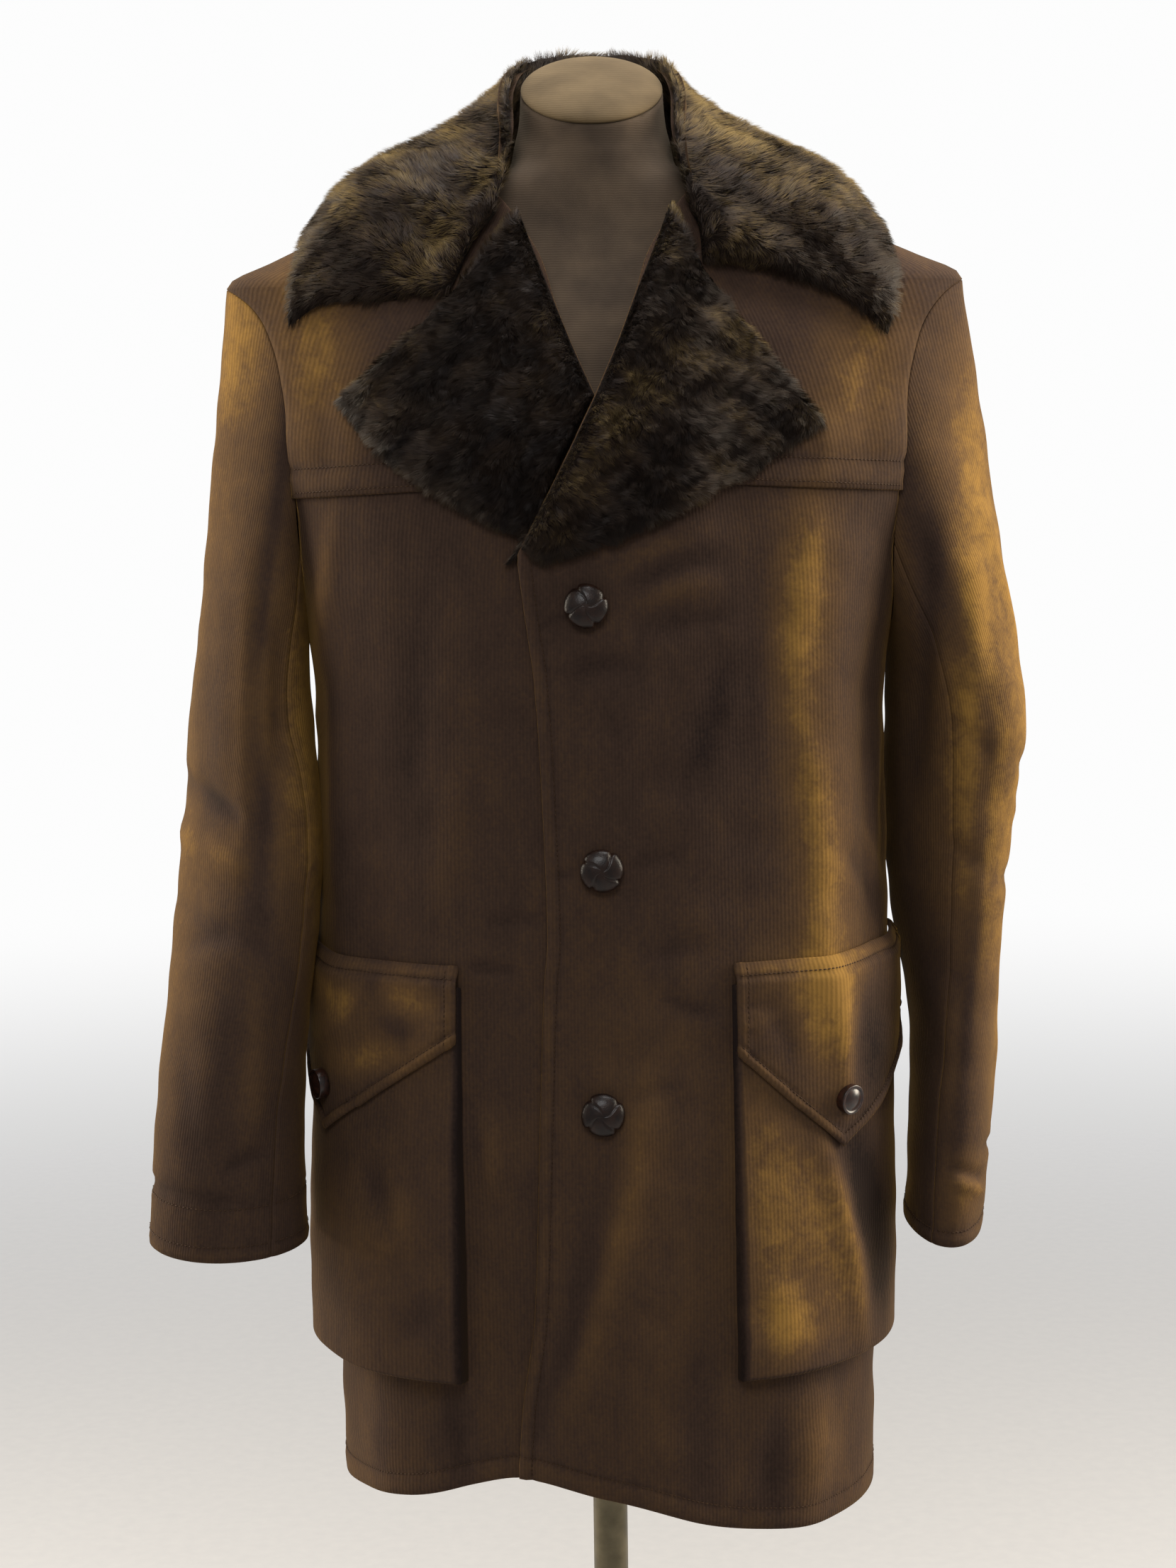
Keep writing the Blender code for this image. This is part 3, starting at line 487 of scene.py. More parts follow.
def steps_through(marks, step):
    """Values from the first mark to the last, through every mark, no further apart than step."""
    values = [marks[0]]
    for start, end in zip(marks, marks[1:]):
        count = max(1, int(np.ceil(abs(end - start) / step)))
        values.extend(mix(start, end, np.arange(1, count + 1) / count))
    return np.array(values)


half_width_at = column(BODY, "half_width")
front_depth_at = column(BODY, "front_depth")
back_depth_at = column(BODY, "back_depth")
corner_at = column(BODY, "corner")
front_edge_at = curve(FRONT_EDGE)
roll_line_at = curve(ROLL_LINE)
neck_edge_at = curve(NECK_EDGE)
hem_at = curve(HEM_LINE)


def body(angle, height):
    """Inside of the cloth round the torso: angle runs from the middle front over the wearer's left side."""
    depth = np.where(np.cos(angle) > 0, front_depth_at(height), back_depth_at(height))
    corner = corner_at(height)
    radius = (np.abs(np.sin(angle) / half_width_at(height)) ** corner
              + np.abs(np.cos(angle) / depth) ** corner) ** (-1 / corner)
    plain = radius
    for fold in FOLDS:
        along = np.clip((fold.top - height) / (fold.top - fold.bottom), 0, 1)
        middle = np.radians(mix(fold.top_angle, fold.bottom_angle, along))
        across = ((angle - middle + pi) % (2 * pi) - pi) * plain / fold.half_width
        radius = radius + fold.height * np.exp(-across ** 2) * np.sin(pi * along).clip(0) ** 0.7
    return np.stack([radius * np.sin(angle), -radius * np.cos(angle), height + 0 * radius], axis=-1)


def angle_at(x, height):
    """Angle of the front surface where it is x from the middle."""
    corner = corner_at(height)
    share = np.minimum(np.abs(x) / half_width_at(height), 1.0)
    return np.arctan2(x, front_depth_at(height) * (1 - share ** corner) ** (1 / corner))


def base_of(surface, a, b, facing=1):
    """Points of a surface and its outward normals."""
    step = 1e-3
    across = surface(a + step, b) - surface(a - step, b)
    along = surface(a, b + step) - surface(a, b - step)
    return surface(a, b), unit(facing * np.cross(across, along))


def skin(surface, a, b, lift, facing=1):
    points, normals = base_of(surface, a, b, facing)
    return points + np.asarray(lift)[..., None] * normals


def arm_height(k):
    """Height of ring point k of the armhole, 0 at the shoulder point."""
    return ARMPIT + (SHOULDER - ARMPIT) * (1 + np.cos(2 * pi * k / RING)) / 2


def armhole_angle(height, opening):
    """How far the armhole's edge lies from the side line at a height."""
    level = np.clip(2 * (height - ARMPIT) / (SHOULDER - ARMPIT) - 1, -1, 1)
    return np.maximum(opening * (1 - level * level) ** 0.4, SEAM_ANGLE)


YOKE_SEAM = arm_height(5)


def side_lift(side, x, height):
    """How far the fronts stand out: the upper one laps the under one and its lapel fold rolls."""
    if side == RIGHT:
        return np.zeros_like(x + height)
    lap = mix(CLOTH + LAY, 2 * (CLOTH + LAY), ramp(1.225, 1.285, height)) * (1 - ramp(0.052, 0.095, x))
    from_roll = x - roll_line_at(np.maximum(height, BREAK))
    roll = 0.006 * np.exp(-(from_roll / 0.035) ** 2) * ramp(BREAK - 0.05, BREAK + 0.03, height)
    return lap + roll * (1 - ramp(1.43, 1.48, height))


def yoke_lap(height):
    """How far the yoke's lower edge stands out over the top of the front."""
    return (CLOTH + 0.8 * LAY) * (1 - ramp(YOKE_SEAM + YOKE_RISE + YOKE_LAP + 0.003, 1.375, height))


def hang(angle, level):
    """Height of a row at an angle: the lowest rows follow the hem line."""
    turn = (angle + pi) % (2 * pi) - pi
    return level + (hem_at(np.degrees(turn)) - HEM) * (1 - ramp(HEM, 0.83, level))


def sleeve_surface(side):
    """The sleeve from its armhole (along 0) to its cuff, round from the outer side over the front."""
    table = SLEEVES[side]

    def armhole(turn):
        height = ARMPIT + (SHOULDER - ARMPIT) * (1 + np.cos(turn)) / 2
        front = pi / 2 - armhole_angle(height, ARMHOLE_FRONT)
        back = pi / 2 + armhole_angle(height, ARMHOLE_BACK)
        angle = side * np.where(np.sin(turn) >= 0, front, back)
        point = skin(body, angle, height, np.full_like(turn, CLOTH / 2))
        middle = point * (1, 0, 0) + (0, 0, (ARMPIT + SHOULDER) / 2)
        return middle + (point - middle) * 0.992 + (side * 4 * GAP, 0, 0)

    def ring(row, turn, dip):
        twist = radians(row.twist)
        out, forward = row.half_width * np.cos(turn), row.half_depth * np.sin(turn)
        return np.stack([side * (row.out + out * np.cos(twist) - forward * np.sin(twist)),
                         -row.forward - out * np.sin(twist) - forward * np.cos(twist),
                         row.height - dip * np.sin(turn)], axis=-1)

    def surface(turn, along):
        rings = [ring(row, turn, 0.0) for row in table[:-1]]
        return spline([armhole(turn), *rings, ring(table[-1], turn, CUFF_DIP)], along)

    return surface, len(table)


def collar_profile(cut, side):
    """Guide points across the collar at one section: seam, roll, over the roll, mid fall, edge."""
    seam = skin(body, np.array(radians(cut.seam_angle)), np.array(cut.seam_height), cut.seam_lift)
    roll = np.array((cut.roll_x, cut.roll_y, cut.roll_height))
    edge = skin(body, np.array(radians(cut.edge_angle)), np.array(cut.edge_height), EDGE_LIFT)
    over = roll + ROLL_WIDTH * unit((edge - roll) * (1, 1, 0)) - (0, 0, 0.004)
    fall = unit(edge - over)
    middle = over + 0.60 * (edge - over) + cut.bulge * unit(np.array((0, 0, 1)) - fall * fall[2])
    return np.stack([seam, roll, over, middle, edge]) * (side, 1, 1)


def collar_surface():
    right = [collar_profile(cut, RIGHT) for cut in COLLAR_ENDS[RIGHT] + COLLAR[:-1]]
    left = [collar_profile(cut, LEFT) for cut in COLLAR_ENDS[LEFT] + COLLAR]
    cuts = np.stack(right + left[::-1])

    def surface(around, across):
        shape = (len(cuts),) + around.shape + (3,)
        spread = (-1,) + (1,) * around.ndim + (3,)
        lines = [np.broadcast_to(cuts[:, i].reshape(spread), shape) for i in range(5)]
        return spline([spline(line, around) for line in lines], across)

    return surface, len(cuts) - 1


def crease_height(points, normals, creases):
    """Height of the listed creases, each only on cloth that faces its view."""
    total = np.zeros(points.shape[:-1])
    for view, rows in creases.items():
        axis, direction = VIEWS[view]
        facing = ramp(0.05, 0.5, normals @ np.array(direction))
        for row in rows:
            crease = Crease(*np.array(row) / 1000)
            across, height = points[..., axis] - crease.across_1, points[..., 2] - crease.height_1
            run, drop = crease.across_2 - crease.across_1, crease.height_2 - crease.height_1
            length = np.hypot(run, drop)
            along = np.clip((across * run + height * drop) / length ** 2, 0, 1)
            aside = (height * run - across * drop) / length - 4 * crease.bow * along * (1 - along)
            profile = np.exp(-(aside / crease.half_width) ** 2) * np.sin(pi * along) ** 0.8
            total += crease.height * profile * facing
    return total


def ripple(points, longest, shortest, count, seed):
    """Uneven waves between -1 and 1, from sines of mixed directions and lengths."""
    chance = np.random.default_rng(seed)
    total = np.zeros(points.shape[:-1])
    for length in np.geomspace(longest, shortest, count):
        direction = unit(chance.normal(size=3)) * 2 * pi / length
        total += np.sin(points @ direction + chance.uniform(0, 2 * pi))
    return total / count ** 0.5 / 1.6


def rumple(points):
    """Slight unevenness of all the cloth."""
    return 0.0009 * ripple(points, 0.16, 0.035, 9, 5)


def lengths(points, axis):
    """Distance from the first point along the columns (axis 0) or the rows (axis 1) of a grid."""
    steps = np.linalg.norm(np.diff(points, axis=axis), axis=-1)
    start = np.zeros_like(np.take(steps, [0], axis=axis))
    return np.cumsum(np.concatenate([start, steps], axis=axis), axis=axis)


def from_edge(points, edge):
    """Distance of every point of a grid from one of its edges, and along that edge."""
    across, along = lengths(points, 1), lengths(points, 0)
    return {
        "first_row": (along, across), "last_row": (along[-1:] - along, across),
        "first_column": (across, along), "last_column": (across[:, -1:] - across, along),
    }[edge]


def pressed(points, sewn, puff):
    """Relief of sewn edges: cloth puffs up beside a row of stitches, dips along it and puckers a little."""
    total = np.zeros(points.shape[:-1])
    plump = puff * (0.85 + 0.5 * ripple(points, 0.070, 0.016, 6, 8))
    for edge, rows in sewn:
        distance, along = from_edge(points, edge)
        total += plump * np.exp(-((distance - 0.5 * rows[0]) / (0.4 * rows[0])) ** 2)
        wander = 0.6 * np.sin(along / 0.017) + 0.4 * np.sin(along / 0.0061)
        pucker = np.sin(2 * pi * (along / 0.011 + wander))
        for row in rows:
            total -= 0.0010 * np.exp(-((distance - row) / 0.0017) ** 2)
            total += 0.00028 * pucker * np.exp(-((distance - row) / 0.006) ** 2)
    return total


Panel = namedtuple("Panel", "points normals")


def sewing_lines(panel, sewn):
    """Points and normals along the rows of stitches at a panel's sewn edges."""
    lines = []
    for edge, rows in sewn:
        distance, _ = from_edge(panel.points, edge)
        turned = edge.endswith("column")
        points, normals = panel.points, panel.normals
        if turned:
            points, normals, distance = points.swapaxes(0, 1), normals.swapaxes(0, 1), distance.T
        if edge.startswith("last"):
            points, normals, distance = points[::-1], normals[::-1], distance[::-1]
        for row in rows:
            i = np.clip((distance < row).sum(axis=0) - 1, 0, len(distance) - 2)
            j = np.arange(distance.shape[1])
            t = ((row - distance[i, j]) / (distance[i + 1, j] - distance[i, j]))[:, None]
            lines.append([mix(grid[i, j], grid[i + 1, j], t) for grid in (points, normals)])
    return lines


def mesh_piece(name, vertices, faces, materials, replaced):
    """A smooth mesh piece of the coat that rides on the part's body."""
    mesh = bpy.data.meshes.new(name)
    mesh.from_pydata(np.asarray(vertices).tolist(), [], faces)
    mesh.shade_smooth()
    for material in materials:
        mesh.materials.append(material)
    piece = bpy.data.objects.new(name, mesh)
    bpy.context.scene.collection.objects.link(piece)
    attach(piece, "root")
    if replaced:
        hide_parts(replaced)
    return piece


def point_values(piece, name, values):
    layer = piece.data.attributes.new(name, "FLOAT", "POINT")
    layer.data.foreach_set("value", np.asarray(values, np.float32).ravel())


def shell(name, outer, inner, nap_and_painted_light, grain, materials):
    """A closed cloth wall between two grids, with rounded edges, a grain map in metres and its nap wear with
    painted light and shade.
    """
    rows, columns = outer.shape[:2]
    count = rows * columns
    index = np.arange(count).reshape(rows, columns)
    corners = index[:-1, :-1], index[:-1, 1:], index[1:, 1:], index[1:, :-1]
    quads = np.stack(corners, axis=-1).reshape(-1, 4)
    border = np.concatenate([index[0], index[1:, -1], index[-1, -2::-1], index[-2:0:-1, 0]])
    across = np.cross(outer[1:-1, 2:] - outer[1:-1, :-2], outer[2:, 1:-1] - outer[:-2, 1:-1])
    if np.sum(across * (outer - inner)[1:-1, 1:-1]) < 0:
        quads, border = quads[:, ::-1], border[::-1]
    flat_outer, flat_inner = outer.reshape(-1, 3), inner.reshape(-1, 3)
    middle = (flat_outer[border] + flat_inner[border]) / 2
    wall = flat_outer[border] - flat_inner[border]
    tangent = np.roll(middle, -1, axis=0) - np.roll(middle, 1, axis=0)
    outward = unit(np.cross(tangent, wall) + 1e-12)
    bead = middle + 0.35 * np.linalg.norm(wall, axis=-1, keepdims=True) * outward
    after = np.roll(np.arange(len(border)), -1)
    rim = 2 * count + np.arange(len(border))
    faces = np.concatenate([
        quads,
        np.stack([border[after], border, rim, rim[after]], axis=-1),
        np.stack([rim[after], rim, border + count, border[after] + count], axis=-1),
        quads[:, ::-1] + count,
    ])
    vertices = np.concatenate([flat_outer, flat_inner, bead])
    piece = mesh_piece(f"{name}_cloth", vertices, faces.tolist(), materials, name)
    point_values(piece, "nap_and_painted_light", np.concatenate([nap_and_painted_light.ravel(), nap_and_painted_light.ravel(), nap_and_painted_light.ravel()[border]]))
    flat_grain = grain.reshape(-1, 2)
    flat_grain = np.concatenate([flat_grain, flat_grain, flat_grain[border]])
    layer = piece.data.uv_layers.new(name="grain")
    layer.data.foreach_set("uv", flat_grain[faces.ravel()].astype(np.float32).ravel())
    if len(materials) > 1:
        back = np.zeros(len(faces), np.int32)
        back[-len(quads):] = 1
        piece.data.polygons.foreach_set("material_index", back)
    return piece


def nap_wear_and_painted_light(points, normals, drape):
    """How golden the cloth is painted: painted highlight on the creases' ridges and painted shade in their
    troughs, besides the nap's wear, and painted light along the strokes.
    """
    raised = CREASE_PAINTED_LIGHT * crease_height(points, normals, drape.creases)
    return raised + crease_height(points, normals, drape.strokes)


def cloth(name, surface, a, b, inside, outside, drape, sewn, facing=1, grain_radius=0.17, puff=EDGE_PUFF):
    """A corduroy shell on a surface between two lifts, creased, its sewn edges pressed and stitched."""
    points, normals = base_of(surface, a, b, facing)
    relief = crease_height(points, normals, drape.creases) + rumple(points)
    welts = pressed(points, sewn, puff)
    outer = points + (outside + relief + welts)[..., None] * normals
    inner = points + (inside + relief)[..., None] * normals
    grain = np.stack([a * grain_radius, lengths(points, 0)], axis=-1)
    # Welts are painted golden where they puff and darker along their stitch dips: painted highlight and
    # painted shade
    nap_and_painted_light = nap_wear_and_painted_light(points, normals, drape) + WELT_PAINTED_LIGHT * welts
    shell(name, outer, inner, nap_and_painted_light, grain, [CORDUROY])
    seams.extend(sewing_lines(Panel(outer, normals), sewn))


def front_grid(side, levels, rises, columns):
    """Angles and heights of a front or yoke, from its middle edge to the side seam, armhole or shoulder."""
    low = levels + rises
    edge = np.where(low > BREAK, neck_edge_at(low), front_edge_at(low) if side == LEFT else HIDDEN_EDGE)
    inner = angle_at(edge, low)[:, None]
    outer = (pi / 2 - armhole_angle(levels, ARMHOLE_FRONT))[:, None]
    share = np.linspace(0, 1, columns)
    angle = mix(inner, outer, share)
    return side * angle, hang(side * angle, levels[:, None]) + rises[:, None] * (1 - share)


def build_front(side, name):
    levels = np.concatenate([steps_through([HEM, 1.0, ARMPIT - 0.004], 0.0040),
                             arm_height(np.linspace(9, 5, 26)), [YOKE_SEAM + YOKE_LAP]])
    rises = YOKE_RISE * np.clip((levels - arm_height(6)) / (YOKE_SEAM - arm_height(6)), 0, 1)
    angle, height = front_grid(side, levels, rises, 76)
    lift = side_lift(side, side * body(angle, height)[..., 0], height)
    sewn = [("first_row", (0.0145,))]
    if side == LEFT:
        sewn.append(("first_column", (0.008,)))
    cloth(f"{name}_front", body, angle, height, lift, lift + CLOTH, BODY_DRAPE, sewn)


def build_yoke(side, name):
    marks = np.array([YOKE_SEAM, YOKE_SEAM + YOKE_LAP + 0.003, arm_height(4), arm_height(3), arm_height(2)])
    shares = np.array([1.0, 1.0, 0.6, 0.25, 0.0])
    levels = np.concatenate([arm_height(np.linspace(5, 0, 34)),
                             steps_through([SHOULDER, 1.460, NECK], 0.004)[1:]])
    angle, height = front_grid(side, levels, YOKE_RISE * np.interp(levels, marks, shares), 56)
    lift = side_lift(side, side * body(angle, height)[..., 0], height) + yoke_lap(height)
    sewn = [("first_row", (0.003, 0.019))]
    cloth(f"{name}_yoke", body, angle, height, lift, lift + CLOTH, BODY_DRAPE, sewn)


def build_back():
    levels = np.concatenate([steps_through([HEM, 1.0, ARMPIT - 0.004], 0.0052),
                             arm_height(np.linspace(9, 0, 46)),
                             steps_through([SHOULDER, 1.460, NECK], 0.005)[1:]])
    start = (pi / 2 + armhole_angle(levels, ARMHOLE_BACK))[:, None]
    angle = mix(start, 2 * pi - start, np.linspace(0, 1, 104))
    height = hang(angle, levels[:, None])
    lift = np.zeros_like(angle)
    cloth("back", body, angle, height, lift, lift + CLOTH, BODY_DRAPE, [("first_row", (0.0145,))])


def build_sleeve(side, name):
    surface, length = sleeve_surface(side)
    along = np.concatenate([np.linspace(0, 1, 62) ** 1.15, steps_through([1, length], 0.045)[1:]])
    drape = Drape(SLEEVE_CREASES[side], SLEEVE_NAP_AND_LIGHT_STROKES)
    sewn = [("last_row", (0.010, 0.036) if side == RIGHT else (0.010,))]
    halves = ("top", BACK_SEAM - RING, FRONT_SEAM, 66), ("under", FRONT_SEAM, BACK_SEAM, 40)
    for kind, first, last, columns in halves:
        turn = np.linspace(2 * pi * first / RING + 0.004, 2 * pi * last / RING - 0.004, columns)
        a, b = np.broadcast_arrays(turn, along[:, None])
        flat = np.zeros(a.shape)
        cloth(f"{name}_{kind}_sleeve", surface, a, b, flat - CLOTH, flat, drape, sewn, side, 0.062)


def pocket_lift(side, height):
    """How far the outside of a pocket's face stands from the body surface."""
    return mix(POCKETS[side].depth, POCKET_TOP_DEPTH, ramp(POCKET_BOTTOM + 0.03, POCKET_TOP, height))


def build_pocket(side, name):
    """A bellows pocket: its face rounds over into gusset walls at the sides and bottom, open at the top."""
    pocket = POCKETS[side]
    seat, radius, inset = CLOTH + LAY, 0.0055, CLOTH / 0.18
    turn = steps_through([0, 0.034], 0.004)
    turn = np.concatenate([turn, steps_through([0.034, 0.966], 0.021)[1:-1], 1 - turn[::-1]])
    level = steps_through([POCKET_BOTTOM, POCKET_BOTTOM + 0.006], 0.0008)
    level = np.concatenate([level, steps_through([POCKET_BOTTOM + 0.006, POCKET_TOP], 0.0042)[1:]])
    angle, height = np.broadcast_arrays(mix(pocket.near, pocket.far, turn), level[:, None])
    side_gap = np.minimum(angle - pocket.near, pocket.far - angle) * 0.18
    edge = np.minimum(side_gap, height - POCKET_BOTTOM).clip(0, radius) / radius
    rise = np.sqrt(1 - (1 - edge) ** 2)
    outside = mix(seat, pocket_lift(side, height), rise)
    inside = mix(seat, pocket_lift(side, height) - CLOTH, rise)
    in_angle = np.clip(angle, pocket.near + inset, pocket.far - inset)
    in_height = np.maximum(height, POCKET_BOTTOM + CLOTH)
    points, normals = base_of(body, side * angle, height)
    in_points, in_normals = base_of(body, side * in_angle, in_height)
    relief = crease_height(points, normals, BODY_CREASES) + rumple(points)
    relief = relief - 0.0006 * np.exp(-((side_gap - 0.009) / 0.0018) ** 2)
    outer = points + (outside + relief)[..., None] * normals
    inner = in_points + (inside + relief)[..., None] * in_normals
    grain = np.stack([side * angle * 0.17, height], axis=-1)
    # The pocket's rounded edges and gusset walls are painted darker: painted shade along the pocket's edge
    nap_and_painted_light = nap_wear_and_painted_light(points, normals, BODY_DRAPE) - 0.4 * (1 - edge)
    piece = shell(f"{name}_pocket", outer, inner, nap_and_painted_light, grain, [CORDUROY])
    piece.data.set_sharp_from_angle(angle=radians(50))


def flap_lift(side, height):
    """Inside of a flap: on the front at its sewn top edge, then over the pocket's face."""
    over_pocket = pocket_lift(side, np.minimum(height, POCKET_TOP)) + 1.5 * LAY
    return mix(over_pocket, CLOTH + 2 * GAP, ramp(POCKET_TOP + 0.001, WAIST, height))


def build_flap(side, name):
    """A pointed flap with a sewn-down top band and a welted edge."""
    pocket = POCKETS[side]
    turn = steps_through([0, pocket.tip_turn, 1], 0.02)
    reach = np.where(turn < pocket.tip_turn, pocket.tip_turn, 1 - pocket.tip_turn)
    low = mix(pocket.flap_tip, pocket.flap_side, np.abs(turn - pocket.tip_turn) / reach)
    share = np.linspace(0, 1, 44)[:, None]
    height = mix(WAIST, low, share)
    angle = np.broadcast_to(side * mix(pocket.near + 0.012, pocket.far - 0.012, turn), height.shape)
    lift = flap_lift(side, height)
    sewn = [(edge, (0.008,)) for edge in ("last_row", "first_row", "first_column", "last_column")]
    cloth(f"{name}_flap", body, angle, height, lift, lift + CLOTH, BODY_DRAPE, sewn, puff=FLAP_PUFF)


def pile_ground(name, points, normals, creases, seed):
    """The cloth under the pile, in the lower part of its solid: clumped, and rounded off to its edges."""
    clumps = 0.5 + 0.5 * ripple(points, 0.045, 0.012, 10, seed)
    edges = ("first_row", "last_row", "first_column", "last_column")
    margin = np.min([from_edge(points, edge)[0] for edge in edges], axis=0)
    rounding = np.sqrt(1 - (1 - np.clip(margin / 0.009, 0, 1)) ** 2)
    relief = 0.0032 * clumps + crease_height(points, normals, creases)
    rise = rounding * (0.0022 + relief.clip(-0.0015))
    outer = points + (0.0010 - PILE + rise)[..., None] * normals
    inner = points - PILE * normals
    grain = np.stack([lengths(points, 1), lengths(points, 0)], axis=-1)
    shell(name, outer, inner, relief, grain, [PILE_GROUND, CORDUROY])
    slopes = np.cross(np.gradient(outer, axis=1), np.gradient(outer, axis=0))
    slopes = unit(slopes) * np.sign(np.sum(slopes * normals, axis=-1, keepdims=True))
    return Panel(outer, slopes)


def spill(points, flow, edge, outward):
    """Turns a pile's flow outward beside one edge, so that its blades lie over the seam there."""
    near = np.exp(-(from_edge(points, edge)[0] / 0.012) ** 2)[..., None]
    return mix(flow, 1.5 * outward, near)


def build_collar():
    surface, length = collar_surface()
    around, across = np.broadcast_arrays(np.linspace(0, length, 150), np.linspace(0, 4, 52)[:, None])
    points, normals = base_of(surface, around, across)
    panel = pile_ground("collar", points, normals, COLLAR_CREASES, 11)
    along = unit(np.gradient(points, axis=1))
    flow = unit(np.gradient(points, axis=0))
    flow = spill(points, flow, "first_column", -along)
    flow = spill(points, flow, "last_column", along)
    build_fur("collar_fur", panel, 185000, 0.02, 21, flow, "first_row", 0.85)


def build_lapel(side, name):
    """Pile facing between the roll line, the gorge under the collar and the lapel's two free edges."""
    shape = LAPELS[side]
    share = steps_through([0.02, TIP_SHARE, 1.0], 0.014)
    roll_z = mix(BREAK, LAPEL_TOP, share)
    roll_x = roll_line_at(roll_z) + 0.0006
    if side == RIGHT:
        crossed = -roll_line_at(roll_z)
        roll_x = np.where(roll_x < crossed, crossed + 0.0035, roll_x)
    low = np.minimum(share / TIP_SHARE, 1)
    high = np.maximum((share - TIP_SHARE) / (1 - TIP_SHARE), 0)
    start_x, start_z = roll_line_at(BREAK) + 0.010, BREAK - 0.004
    out_x = mix(mix(start_x, shape.low_x, low), mix(shape.low_x, shape.tip_x, low), low)
    out_z = mix(mix(start_z, shape.low_z, low), mix(shape.low_z, shape.tip_z, low), low)
    out_x = np.where(share > TIP_SHARE, mix(shape.tip_x, shape.notch_x, high), out_x)
    out_z = np.where(share > TIP_SHARE, mix(shape.tip_z, shape.notch_z, high), out_z)
    out_x = np.maximum(out_x, roll_x + 0.006)
    t = np.linspace(0, 1, 58)
    x, z = mix(roll_x[:, None], out_x[:, None], t), mix(roll_z[:, None], out_z[:, None], t)
    lift = side_lift(side, x, z) + CLOTH + 1.5 * LAY + yoke_lap(z) * ramp(1.262, 1.292, z)
    points, normals = base_of(body, side * angle_at(x, z), z)
    points = points + (lift + PILE)[..., None] * normals
    panel = pile_ground(f"{name}_lapel", points, normals, {}, 12 + side)
    flow = unit(np.gradient(points, axis=1)) - (0, 0, 0.9)
    flow = spill(points, flow, "last_row", unit(np.gradient(points, axis=0)))
    # The wearer's right lapel's pile is given a darker tone than the left's: painted shade on the same fur
    tone = -0.20 if side == RIGHT else -0.09
    build_fur(f"{name}_lapel_fur", panel, 95000, tone, 31 + side, flow, "first_column", 0.35)


def build_fur(name, panel, count, tone, seed, flow, sewn_edge, shortest):
    """Pile as joined blades: rooted evenly, combed along its flow with swirls, clumped, short at its seam."""
    chance = np.random.default_rng(seed)
    points, normals = panel.points, panel.normals
    sides = points[:-1, 1:] - points[:-1, :-1], points[1:, :-1] - points[:-1, :-1]
    area = np.linalg.norm(np.cross(*sides), axis=-1)
    cell = chance.choice(area.size, count, p=(area / area.sum()).ravel())
    i, j = np.unravel_index(cell, area.shape)
    s, t = chance.random((2, count, 1))

    def at(grid):
        return mix(mix(grid[i, j], grid[i, j + 1], s), mix(grid[i + 1, j], grid[i + 1, j + 1], s), t)

    root, up = at(points), unit(at(normals))
    grown = ramp(0.0, 0.013, at(from_edge(points, sewn_edge)[0][..., None]))
    comb = at(flow)
    comb = unit(comb - up * np.sum(comb * up, axis=-1, keepdims=True))
    swirl = 1.1 * grown * ripple(root, 0.080, 0.022, 7, seed + 1)[:, None]
    swirl = swirl + 0.3 * chance.normal(size=(count, 1))
    lie = comb * np.cos(swirl) + np.cross(up, comb) * np.sin(swirl)
    uneven = (1 + 0.2 * chance.normal(size=(count, 1))).clip(0.5, 1.5)
    long = FUR_LENGTH * uneven * mix(shortest, 1.0, grown)
    stand = 0.62 + 0.25 * ripple(root, 0.050, 0.014, 7, seed + 2)[:, None]
    tip = root + long * unit(stand * up + lie)

    leaders = chance.choice(count, count // 40, replace=False)
    tree = KDTree(len(leaders))
    for number, leader in enumerate(leaders):
        tree.insert(root[leader], number)
    tree.balance()
    clump = np.array([tree.find(point)[1] for point in root])
    tip = mix(tip, tip[leaders][clump] + 0.5 * (root - root[leaders][clump]), 0.42)

    roll = chance.uniform(-1.0, 1.0, (count, 1))
    flat = unit(np.cross(tip - root, up) + 1e-9)
    flat = (flat * np.cos(roll) + up * np.sin(roll)) * BLADE * (1 + 0.3 * chance.random((count, 1)))
    root = root - 0.0008 * up
    vertices = np.stack([root - flat, root + flat, tip], axis=1).reshape(-1, 3)
    faces = np.arange(3 * count).reshape(-1, 3)
    piece = mesh_piece(name, vertices, faces.tolist(), [FUR], None)
    patches = ramp(-0.8, 1.0, ripple(root, 0.110, 0.028, 7, seed + 3))
    shade = tone + 0.10 * chance.random(len(leaders))[clump] + 0.22 * chance.random(count)
    # Pile that faces up is painted lighter: a painted highlight where the light falls from above
    shade = shade + 0.38 * patches + 0.42 * up[:, 2].clip(0)
    point_values(piece, "shade", np.repeat(shade.clip(0, 1), 3))
    point_values(piece, "tip", np.tile((0.0, 0.0, 1.0), count))
    tilt = 0.24 * chance.normal(size=(len(leaders), 3))[clump]
    soft = unit(up + 0.35 * lie + tilt + 0.15 * chance.normal(size=(count, 3)))
    piece.data.normals_split_custom_set_from_vertices(np.repeat(soft, 3, axis=0).tolist())


